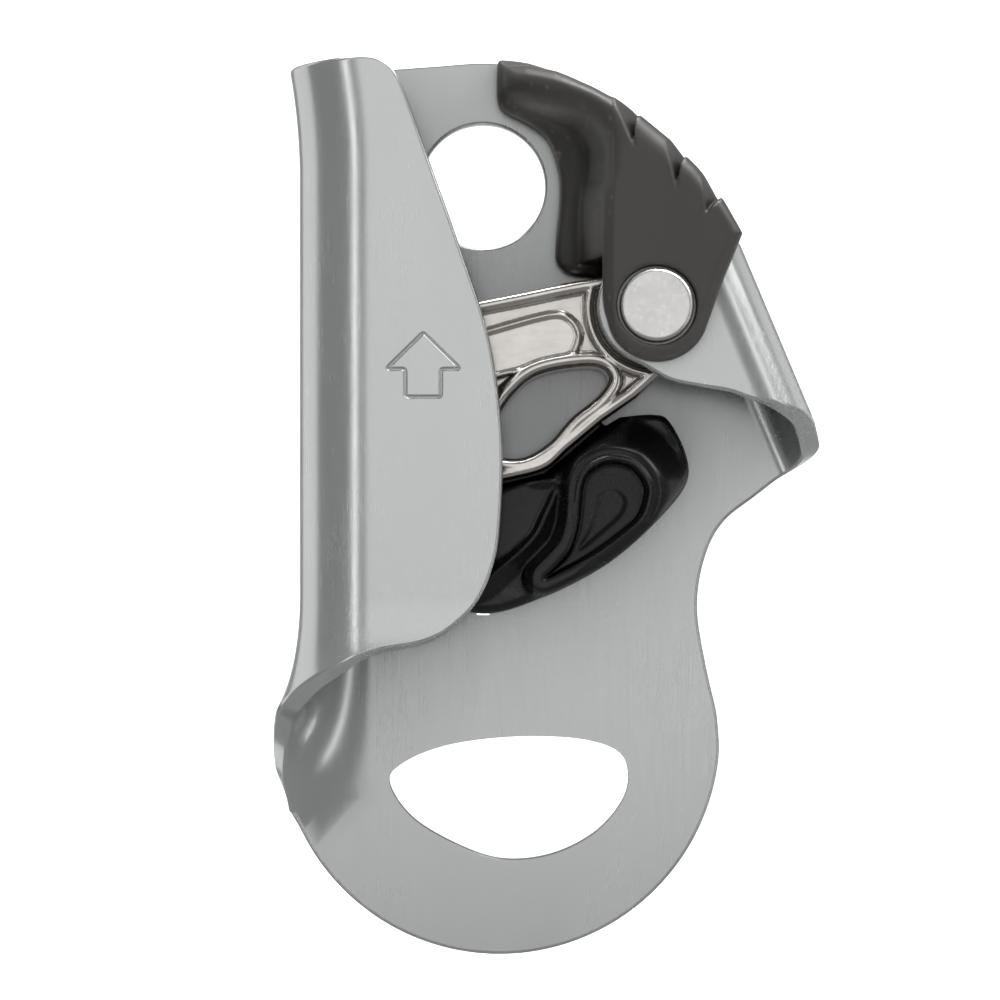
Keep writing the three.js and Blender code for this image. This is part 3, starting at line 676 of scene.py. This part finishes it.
# ------------------------------------------------------------------ cam
CAM_TOP = [(14.2, -11.7), (9.6, -12.5), (4.8, -13.5), (-0.2, -14.5), (-8, -16.1), (-13.4, -18.4)]
CAM_FACE = [(-15.2, -21), (-16.1, -25), (-16.3, -29), (-15.6, -32.4)]
CAM_FOOT = [(-13.4, -34.6), (-8, -36.4), (-2, -36.9), (2.4, -36.1), (7.4, -34.8), (10.4, -32.3), (14.3, -29)]
CAM_WINDOW = [
    (1.2, -32.6), (1.7, -29), (3.7, -25.7), (7, -23.3), (13, -22.4), (15.1, -23.7), (13.9, -25.9),
    (10.6, -28.6), (7.9, -31.6), (4.5, -33.4),
]
PLAQUE = [
    (-2.2, -19.2), (0.8, -18.2), (7.9, -16.3), (10.3, -16.7), (11.5, -18.6), (10.6, -21), (8.2, -21.9),
    (2.4, -23.3), (-1.4, -24.1),
]
MUD_SLOT = [(-18.5, -21.6), (-9, -21.6), (-9, -31), (-18.5, -31)]
NECK_SLOT = [(-12.6, -40), (-12.6, -30.6), (-9.5, -27.9), (-4.5, -27.9), (-1.7, -30.6), (-1.7, -40)]
TONGUE_SWING = (-4.8, -37.2)
TONGUE_ROUTE = [(-1.6, -36.6), (2.4, -35.8), (7.2, -34.4), (10.2, -31.9), (14.2, -28.7), (21.5, -22.9)]


def strip(route, above, below):
    """Closed outline of a band that follows a route, so wide above it and below it."""
    middle = catmull(route, 4)
    way = np.gradient(middle, axis=0)
    way /= np.linalg.norm(way, axis=1)[:, None]
    side = np.stack((-way[:, 1], way[:, 0]), 1)
    return np.vstack((middle - side * below, (middle + side * above)[::-1]))


def cam_rims(grid, plan, window):
    """Raised rims round the cam's edge, its window and its hub."""
    rim_width = 1.45
    edge_rim = np.abs(plan + rim_width / 2 + 0.05) - rim_width / 2
    window_rim = np.abs(window - 0.85) - 0.75
    hub_rim = np.abs(grid.circle(PIVOT, 7.9)) - 0.55
    rims = smooth_min(edge_rim, window_rim, 0.3)
    rims = np.minimum(rims, np.maximum(hub_rim, plan + 0.2))
    rims = np.minimum(rims, grid.circle(PIVOT, 6.3))
    ridge = smooth_max(rims, grid.between(CAM_MID, CAM_FRONT), 0.75)
    return smooth_max(ridge, plan, 0.5)


def cam_plaque(grid):
    """A blank plaque with a fine raised frame."""
    plaque = grid.plan(catmull(PLAQUE, closed=True))
    sign = smooth_max(np.abs(plaque) - 0.3, grid.between(CAM_MID, CAM_LAND + 0.55), 0.4)
    field = smooth_max(plaque, grid.between(CAM_MID, CAM_LAND + 0.25), 0.3)
    return np.minimum(sign, field)


def cam_clearances(grid, body):
    """Room in the cam for the axle, its spring, the catch and its pin, and for mud."""
    body = smooth_max(body, -grid.circle(PIVOT, CAM_BORE_R), 0.4)
    pocket = np.maximum(grid.circle(PIVOT, SPRING_POCKET_R), grid.depth - SPRING_POCKET_FRONT)
    body = smooth_max(body, -pocket, 0.3)
    swing = np.vstack(([PIVOT], arc(*PIVOT, LEG_RELIEF_R, 163, 224, 12)))
    leg_room = np.maximum(grid.plan(swing), grid.between(LEG_RELIEF_BACK, SPRING_POCKET_FRONT))
    body = smooth_max(body, -leg_room, 0.2)
    mud_room = np.maximum(grid.plan(np.array(MUD_SLOT)), grid.between(CAM_MID - 1.1, CAM_MID + 1.1))
    body = smooth_max(body, -mud_room, 0.5)
    neck_room = np.maximum(grid.plan(np.array(NECK_SLOT)), grid.between(6.2, 11.8))
    body = smooth_max(body, -neck_room, 0.3)
    tongue = np.maximum(grid.plan(strip([TONGUE_SWING, *TONGUE_ROUTE], 1.9, 6)), grid.depth - 7.4)
    body = smooth_max(body, -tongue, 0.3)
    return smooth_max(body, -grid.circle(CATCH_PIVOT, CATCH_PIN_HOLE_R), 0.3)


def make_cam(material):
    grid = Block((-17.2, 28.2), (CAM_BACK - 0.8, CAM_FRONT + 0.8), (-38, -7.8), FINE_STEP)
    hub = arc(*PIVOT, HUB_R, -60, 112, 40)
    heel = [(18.3, -26.2), (20.3, -24.4)]
    outline = np.vstack((hub, catmull(CAM_TOP), catmull(CAM_FACE), catmull(CAM_FOOT), heel))
    plan = grid.plan(outline)
    window = grid.plan(catmull(CAM_WINDOW, closed=True))
    body = smooth_max(plan, grid.between(CAM_BACK, CAM_LAND), 0.7)
    body = smooth_min(body, cam_rims(grid, plan, window), 0.35)
    body = smooth_min(body, cam_plaque(grid), 0.3)
    body = smooth_max(body, -window, 0.7)
    points, quads = grid.mesh(cam_clearances(grid, body))
    teeth_points, teeth_faces = cam_teeth(len(points))
    points = np.vstack((points, teeth_points))
    faces = quads.tolist() + teeth_faces
    return piece("cam_forging", points, faces, material, "cam_arm", "cam")


def cam_teeth(first):
    """Small cones on the rope face, leaning up against the pull."""
    points, faces = [], []
    sides = 10
    for row in range(8):
        z = -21.2 - row * 1.45
        face_x = -16.3 + 0.011 * (z + 28) ** 2
        offsets = (-2.9, 2.9) if row % 2 else (-3.7, -2.1, 2.1, 3.7)
        for offset in offsets:
            base = first + len(points)
            centre = np.array((face_x + 0.5, -(CAM_MID + offset), z))
            for radius, out, lift in ((0.62, 0, 0), (0.36, 0.85, 0.1), (0.12, 1.3, 0.22)):
                for k in range(sides):
                    angle = 2 * math.pi * k / sides
                    points.append(
                        centre + (-out, radius * math.cos(angle), lift + radius * math.sin(angle))
                    )
            points.append(centre + (-1.38, 0, 0.25))
            for level in (0, 1):
                for k in range(sides):
                    m = (k + 1) % sides
                    low, high = base + level * sides, base + (level + 1) * sides
                    faces.append([low + m, low + k, high + k, high + m])
            tip = base + 3 * sides
            ring = base + 2 * sides
            faces += [[ring + (k + 1) % sides, ring + k, tip] for k in range(sides)]
            faces.append([base + k for k in range(sides)])
    return np.array(points), faces


# ------------------------------------------------------------------ catch
CATCH_PAD = [
    (-2, -37.8), (-6, -40), (-8.6, -44), (-6.5, -49.5), (-0.1, -52.1), (7.3, -50.1), (15.2, -45.9),
    (21.4, -40.4), (24.6, -36.3), (24.5, -32.8), (22.5, -28.9), (20.6, -28.1), (16.6, -28.4),
]
BELOW_CAM = [(14.6, -29.6), (10.7, -33), (7.6, -35.5), (2.4, -36.8)]
RECESS = [
    (12.7, -35.2), (14.3, -34.15), (16, -33.95), (17.9, -34.55), (19.3, -36.3), (19.5, -37.9),
    (18.6, -40.4), (16.3, -42.5), (12.4, -45.3), (9.6, -46.9), (7.4, -47.8), (8.7, -46.4),
    (10.4, -44.4), (11.4, -41.7), (11.75, -38.7), (12, -36.7),
]
RECESS_FLOOR = [
    (14.2, -37.7), (15.6, -37.1), (17, -38.2), (16.7, -39.9), (14.7, -41.9), (11.6, -44.3),
    (13, -41.8), (13.8, -39.4),
]
THUMB = [
    (9.6, -35.9), (9, -38.2), (8, -40.4), (6.4, -43.4), (2.4, -47), (-1.5, -49.5), (-12, -50),
    (-12, -36), (2, -35.5),
]


def catch_front(grid, recess):
    """Depth of the catch's front: a ring round the recess, falling away to the thumb's bed."""
    thumb = grid.plan(catmull(THUMB, 6, closed=True))
    ring = recess - 1.25
    fall = 3.9 * smooth_step(0.0, 4.6, ring)
    top = CATCH_FRONT - 0.45 - fall + 0.45 * np.exp(-(((ring + 0.75) / 0.32) ** 2))
    left = smooth_step(12.5, 8.5, grid.x + 0.25 * (grid.z + 38))
    bed = 12.3 + 0.55 * np.exp(-(((thumb + 0.5) / 0.55) ** 2)) - 0.5 * smooth_step(0.2, 1.6, thumb)
    near = smooth_step(1.6, 0.1, ring)
    bed = bed + (CATCH_FRONT - bed) * near
    return top * (1 - left) + np.minimum(bed, CATCH_FRONT) * left


def catch_arm(grid):
    """The neck that hangs on the pin, and the tongue under the cam."""
    neck_plan = np.vstack((arc(*CATCH_PIVOT, 3.4, 0, 180, 24),
                           [(-10.4, -36), (-8.4, -43), (-2, -42), (-3.6, -37)]))
    neck = smooth_max(grid.plan(neck_plan), grid.between(6.5, 9.2), 0.5)
    tongue = smooth_max(grid.plan(strip(TONGUE_ROUTE[:-1], 1.4, 2.5)), grid.between(3.8, 7.0), 0.4)
    return neck, tongue


def make_catch(material):
    grid = Block((-11.4, 25.8), (CATCH_BACK - 0.8, CATCH_FRONT + 0.6), (-53.2, -26.6), FINE_STEP)
    plan = grid.plan(np.vstack((catmull(CATCH_PAD, 8), BELOW_CAM)))
    recess = grid.plan(catmull(RECESS, 6, closed=True))
    floor = grid.plan(catmull(RECESS_FLOOR, 6, closed=True))
    body = smooth_max(plan, (grid.depth - catch_front(grid, recess)) * 0.8, 1.1)
    body = smooth_max(body, CATCH_BACK - grid.depth, 0.7)
    base = 11.3 + 0.12 * smooth_step(0.3, -0.3, floor)
    body = smooth_max(body, -smooth_max(recess, base - grid.depth, 0.5), 0.45)

    side_cut = np.array([(-14, -54), (-1.9, -54), (-1.9, -30), (-14, -30)])
    body = smooth_max(body, -np.maximum(grid.plan(side_cut), 11.4 - grid.depth), 0.6)
    neck, tongue = catch_arm(grid)
    body = smooth_min(smooth_min(body, neck, 0.4), tongue, 0.3)
    body = smooth_max(body, -grid.circle(CATCH_PIVOT, CATCH_PIN_HOLE_R), 0.25)
    points, quads = grid.mesh(body)
    return piece("thumb_catch", points, quads, material, "catch", "catch_lever")


# ------------------------------------------------------------------ axle, washers, pins, springs
def make_axle_group(steel):
    skin = EAR_FRONT + GAP
    head = [
        (0.001, -3.0), (2.9, -3.0), (3.4, -3.0), (4.1, -2.5), (4.1, -1.7), (AXLE_R, -1.7),
        (AXLE_R, skin), (AXLE_HEAD_R, skin), (AXLE_HEAD_R, 20.2), (4.0, AXLE_HEAD_FRONT),
        (3.5, AXLE_HEAD_FRONT), (0.001, AXLE_HEAD_FRONT),
    ]
    turned("axle_and_head", head, PIVOT, steel, "body", "axle_rivet", 0.22)
    before_cam = CAM_FRONT + GAP
    rings = [
        ("axle_tail_washer", "tail_washer", AXLE_HOLE_R, TAIL_WASHER_R, -1.4, -GAP),
        ("axle_spacer", "axle_sleeve", AXLE_HOLE_R, SLEEVE_R, SHEET + GAP, FLAP_BACK - GAP),
        ("washer_behind_cam", "back_thrust_washer", CAM_BORE_R, THRUST_WASHER_R, SHEET + GAP,
         CAM_BACK - GAP),
        ("washer_before_cam", "front_thrust_washer", CAM_BORE_R, THRUST_WASHER_R, before_cam,
         FLAP_BACK - GAP),
    ]
    for name, node, inner, outer, back, front in rings:
        profile = [(inner, back), (outer, back), (outer, front), (inner, front)]
        turned(name, profile, PIVOT, steel, "body", node, 0.2)
    pin = [(0.001, 4.1), (CATCH_PIN_R, 4.1), (CATCH_PIN_R, 13.8), (0.001, 13.8)]
    turned("catch_hinge_pin", pin, CATCH_PIVOT, steel, "cam_arm", "catch_pin", 0.3)


def coil(centre, radius, depth, pitch, turns, start):
    """Points of a spring's turns round a centre, coming forwards by the pitch at each turn."""
    per_turn = 12
    made = []
    for i in range(round(turns * per_turn) + 1):
        angle = math.radians(start + 360 * i / per_turn)
        made.append((
            centre[0] + radius * math.cos(angle),
            -(depth + pitch * i / per_turn),
            centre[1] + radius * math.sin(angle),
        ))
    return made


def make_springs(spring_steel):
    tail = (PIVOT[0] + CAM_SPRING_R, -1.2, PIVOT[1])
    leg = (PIVOT[0] - CAM_SPRING_R - 0.4, -7.6, PIVOT[1] - 3.4)
    route = [tail, *coil(PIVOT, CAM_SPRING_R, 4.7, 1.15, 2.5, 0), leg]
    wire("cam_return_spring", route, CAM_SPRING_WIRE_R, spring_steel, "body", "cam_spring")
    anchor = (CATCH_PIVOT[0] - 1.6, -9.7, CATCH_PIVOT[1] + 2.4)
    foot = (CATCH_PIVOT[0] + 0.6, -10.9, CATCH_PIVOT[1] - 5)
    route = [anchor, *coil(CATCH_PIVOT, CATCH_SPRING_R, 9.7, 0.8, 1.5, 90), foot]
    wire(
        "catch_return_spring", route, CATCH_SPRING_WIRE_R, spring_steel, "cam_arm",
        "catch_spring",
    )


# ------------------------------------------------------------------ materials
class Nodes:
    """Small helper for building one node material."""

    def __init__(self, name):
        self.material = bpy.data.materials.new(name)
        self.material.use_nodes = True
        self.tree = self.material.node_tree
        self.shader = self.tree.nodes["Principled BSDF"]
        self.place = self.tree.nodes.new("ShaderNodeTexCoord").outputs["Object"]

    def link(self, a, b):
        self.tree.links.new(a, b)

    def noise(self, scale, stretch, detail):
        mapping = self.tree.nodes.new("ShaderNodeMapping")
        mapping.inputs["Scale"].default_value = stretch
        self.link(self.place, mapping.inputs["Vector"])
        noise = self.tree.nodes.new("ShaderNodeTexNoise")
        noise.inputs["Scale"].default_value = scale
        noise.inputs["Detail"].default_value = detail
        noise.inputs["Roughness"].default_value = 0.6
        self.link(mapping.outputs["Vector"], noise.inputs["Vector"])
        return noise.outputs["Fac"]

    def spread(self, value, low, high, to_low, to_high):
        """A value's range stretched onto another range."""
        node = self.tree.nodes.new("ShaderNodeMapRange")
        node.inputs["From Min"].default_value = low
        node.inputs["From Max"].default_value = high
        node.inputs["To Min"].default_value = to_low
        node.inputs["To Max"].default_value = to_high
        self.link(value, node.inputs["Value"])
        return node.outputs["Result"]

    def mix(self, factor, a, b):
        """Two colours mixed: sockets 6, 7 and output 2 are the mix node's colour ones."""
        node = self.tree.nodes.new("ShaderNodeMix")
        node.data_type = "RGBA"
        node.inputs[6].default_value = (*a, 1)
        node.inputs[7].default_value = (*b, 1)
        self.link(factor, node.inputs[0])
        return node.outputs[2]

    def math(self, operation, a, b):
        node = self.tree.nodes.new("ShaderNodeMath")
        node.operation = operation
        for socket, value in zip(node.inputs, (a, b)):
            if isinstance(value, (int, float)):
                socket.default_value = value
            else:
                self.link(value, socket)
        return node.outputs[0]

    def painted_shade(self, reach, darkest):
        """Painted shade: a factor that darkens the base colour where the surface is shut in by its
        neighbours.
        """
        node = self.tree.nodes.new("ShaderNodeAmbientOcclusion")
        node.inputs["Distance"].default_value = reach * MM
        node.samples = 8
        return self.spread(node.outputs["AO"], 0.25, 0.95, darkest, 1)

    def shade(self, colour, factor):
        """A colour darkened by a factor."""
        node = self.tree.nodes.new("ShaderNodeMix")
        node.data_type = "RGBA"
        node.blend_type = "MULTIPLY"
        node.inputs[0].default_value = 1
        self.link(colour, node.inputs[6])
        self.link(factor, node.inputs[7])
        return node.outputs[2]

    def edges(self, low, high):
        """Painted highlight on the edges, from how sharply the surface turns."""
        pointed = self.tree.nodes.new("ShaderNodeNewGeometry").outputs["Pointiness"]
        return self.spread(pointed, low, high, 0, 1)

    def bump(self, height, strength, size):
        node = self.tree.nodes.new("ShaderNodeBump")
        node.inputs["Strength"].default_value = strength
        node.inputs["Distance"].default_value = size * MM
        self.link(height, node.inputs["Height"])
        self.link(node.outputs["Normal"], self.shader.inputs["Normal"])


def sheet_material():
    made = Nodes("brushed_sheet")
    made.shader.inputs["Metallic"].default_value = 0.88
    grain = made.noise(4500, (1, 1, 0.03), 3)
    cloud = made.noise(60, (1, 1, 0.5), 3)
    fine = made.noise(9000, (1, 1, 0.1), 2)
    tone = made.math("ADD", made.math("MULTIPLY", grain, 0.35), made.math("MULTIPLY", cloud, 0.65))
    colour = made.mix(made.spread(tone, 0.3, 0.7, 0, 1), (0.58, 0.59, 0.59), (0.67, 0.68, 0.68))
    # Painted shade: the sheet's base colour darkens where the ear, the fold and the parts in front shut it
    # in.
    made.link(made.shade(colour, made.painted_shade(22, 0.45)), made.shader.inputs["Base Color"])
    uneven = made.spread(cloud, 0.3, 0.7, -0.02, 0.03)
    rough = made.math("ADD", made.spread(grain, 0.3, 0.7, 0.2, 0.27), uneven)
    made.link(rough, made.shader.inputs["Roughness"])
    height = made.math("ADD", grain, made.math("MULTIPLY", fine, 0.4))
    made.bump(height, 0.012, 0.02)
    return made.material


def steel_material(name, colour_low, colour_high, rough_low, rough_high, stretch):
    made = Nodes(name)
    made.shader.inputs["Metallic"].default_value = 1
    grain = made.noise(1500, stretch, 3)
    cloud = made.noise(220, (1, 1, 1), 3)
    colour = made.mix(made.spread(cloud, 0.3, 0.7, 0, 1), colour_low, colour_high)
    # Painted shade: the steel's base colour darkens in tight corners.
    made.link(made.shade(colour, made.painted_shade(3, 0.5)), made.shader.inputs["Base Color"])
    made.link(made.spread(grain, 0.3, 0.7, rough_low, rough_high), made.shader.inputs["Roughness"])
    made.bump(made.math("ADD", grain, made.math("MULTIPLY", cloud, 0.6)), 0.015, 0.02)
    return made.material


def plastic_material(name, dark, light, rough_low, rough_high, grain_strength, shine):
    made = Nodes(name)
    made.shader.inputs["Specular IOR Level"].default_value = shine
    grain = made.noise(2600, (1, 1, 1), 2)
    cloud = made.noise(150, (1, 1, 1), 4)
    # Painted highlight: the colour lightens on sharply turned edges, patchy with the cloud noise.
    painted_edge_highlight = made.edges(0.52, 0.6)
    colour = made.mix(made.math("MULTIPLY", painted_edge_highlight, made.spread(cloud, 0.4, 0.7, 0, 1)), dark, light)
    # Painted shade: the plastic's base colour darkens where the moulding is shut in.
    made.link(made.shade(colour, made.painted_shade(12, 0.25)), made.shader.inputs["Base Color"])
    rough = made.math("ADD", made.spread(grain, 0.3, 0.7, rough_low, rough_high),
                      made.spread(cloud, 0.3, 0.7, -0.04, 0.04))
    made.link(rough, made.shader.inputs["Roughness"])
    made.bump(grain, grain_strength, 0.05)
    return made.material


# ------------------------------------------------------------------ stage, lights, camera
def stage_material():
    made = Nodes("pale_floor")
    cloud = made.noise(3, (1, 1, 1), 2)
    made.link(made.mix(cloud, (0.9, 0.9, 0.9), (0.93, 0.93, 0.93)), made.shader.inputs["Base Color"])
    made.shader.inputs["Roughness"].default_value = 0.8
    made.shader.inputs["Specular IOR Level"].default_value = 0.1
    return made.material


def make_stage():
    """A pale floor that curves up into a backdrop behind."""
    floor_z, front_y, back_y, bend, half = -230.0, -1900.0, 700.0, 260.0, 1900.0
    profile = [(front_y, floor_z), (back_y - bend, floor_z)]
    for angle in np.radians(np.linspace(5, 90, 18)):
        profile.append((back_y - bend + bend * math.sin(angle), floor_z + bend * (1 - math.cos(angle))))
    profile.append((back_y, 1500.0))
    points = [(x, y, z) for y, z in profile for x in (-half, half)]
    faces = [(2 * i, 2 * i + 1, 2 * i + 3, 2 * i + 2) for i in range(len(profile) - 1)]
    mesh = bpy.data.meshes.new("pale_floor")
    mesh.from_pydata((np.array(points) * MM).tolist(), [], faces)
    mesh.shade_smooth()
    mesh.materials.append(stage_material())
    floor = bpy.data.objects.new("pale_floor", mesh)
    bpy.context.scene.collection.objects.link(floor)
    floor.visible_glossy = False


def area_light(name, place, target, size, power):
    light = bpy.data.lights.new(name, "AREA")
    light.shape = "RECTANGLE"
    light.size, light.size_y = size[0] * MM, size[1] * MM
    light.energy = power
    made = bpy.data.objects.new(name, light)
    bpy.context.scene.collection.objects.link(made)
    made.location = Vector(place) * MM
    way = (Vector(target) - Vector(place)).normalized()
    made.rotation_mode = "QUATERNION"
    made.rotation_quaternion = way.to_track_quat("-Z", "Y")
    made.visible_camera = False
    return made


def make_world():
    """Dim surroundings for the metal to reflect, and a pale ground behind the object."""
    world = bpy.data.worlds.new("studio")
    bpy.context.scene.world = world
    world.use_nodes = True
    tree = world.node_tree
    around = tree.nodes["Background"]
    around.inputs["Color"].default_value = (1, 1, 1, 1)
    around.inputs["Strength"].default_value = 0.2
    behind = tree.nodes.new("ShaderNodeBackground")
    behind.inputs["Color"].default_value = (1, 1, 1, 1)
    behind.inputs["Strength"].default_value = 0.95
    seen = tree.nodes.new("ShaderNodeLightPath").outputs["Is Camera Ray"]
    mix = tree.nodes.new("ShaderNodeMixShader")
    tree.links.new(seen, mix.inputs[0])
    tree.links.new(around.outputs[0], mix.inputs[1])
    tree.links.new(behind.outputs[0], mix.inputs[2])
    tree.links.new(mix.outputs[0], tree.nodes["World Output"].inputs["Surface"])


def make_lights():
    middle = (0, -10, -38)
    area_light("front_wall", (0, -1300, 200), middle, (560, 920), 1.12)
    area_light("left_strip", (-620, -1150, -20), middle, (110, 1500), 1.4)
    area_light("right_strip", (820, -760, 60), middle, (160, 1300), 0.9)
    area_light("left_side", (-900, 480, 0), middle, (860, 1400), 2.4)
    area_light("right_side", (900, 520, 0), middle, (760, 1200), 1.3)
    area_light("back_wall", (0, 620, -30), middle, (520, 900), 0.8)
    area_light("top_bank", (350, -380, 900), middle, (600, 400), 4.0)
    area_light("upper_right", (620, -240, 520), middle, (420, 420), 2.4)
    area_light("back_wash", (0, 100, 1100), (0, 700, 0), (1600, 500), 30)


def make_camera():
    data = bpy.data.cameras.new("studio_camera")
    data.sensor_width = 36
    field = 122.5  # width of the view at the front face of the plate, mm
    stand_off = 450.0
    data.lens = data.sensor_width * stand_off / field
    data.clip_start, data.clip_end = 0.02, 20
    camera = bpy.data.objects.new("studio_camera", data)
    bpy.context.scene.collection.objects.link(camera)
    camera.location = Vector((2.08, -(stand_off + SHEET), -38.4)) * MM
    camera.rotation_euler = (math.pi / 2, 0, 0)
    bpy.context.scene.camera = camera
    bpy.context.scene.view_settings.view_transform = "Standard"


# ------------------------------------------------------------------ making it
steel = steel_material("turned_steel", (0.86, 0.85, 0.83), (0.95, 0.94, 0.92), 0.26, 0.36, (1, 1, 1))
chrome = steel_material("plated_cam", (0.74, 0.70, 0.66), (0.84, 0.81, 0.77), 0.15, 0.25, (0.2, 1, 1))
spring_steel = steel_material("spring_wire", (0.42, 0.42, 0.41), (0.52, 0.52, 0.5), 0.25, 0.4, (1, 1, 1))
grip_plastic = plastic_material(
    "grip_plastic", (0.04, 0.038, 0.035), (0.1, 0.097, 0.09), 0.38, 0.46, 0.1, 0.5
)
catch_plastic = plastic_material(
    "catch_plastic", (0.006, 0.0058, 0.0055), (0.03, 0.029, 0.027), 0.2, 0.28, 0.02, 0.42
)

make_camera()
make_stage()
make_world()
make_lights()
make_sheet(sheet_material())
make_shroud(grip_plastic)
make_cam(chrome)
make_catch(catch_plastic)
make_axle_group(steel)
make_springs(spring_steel)
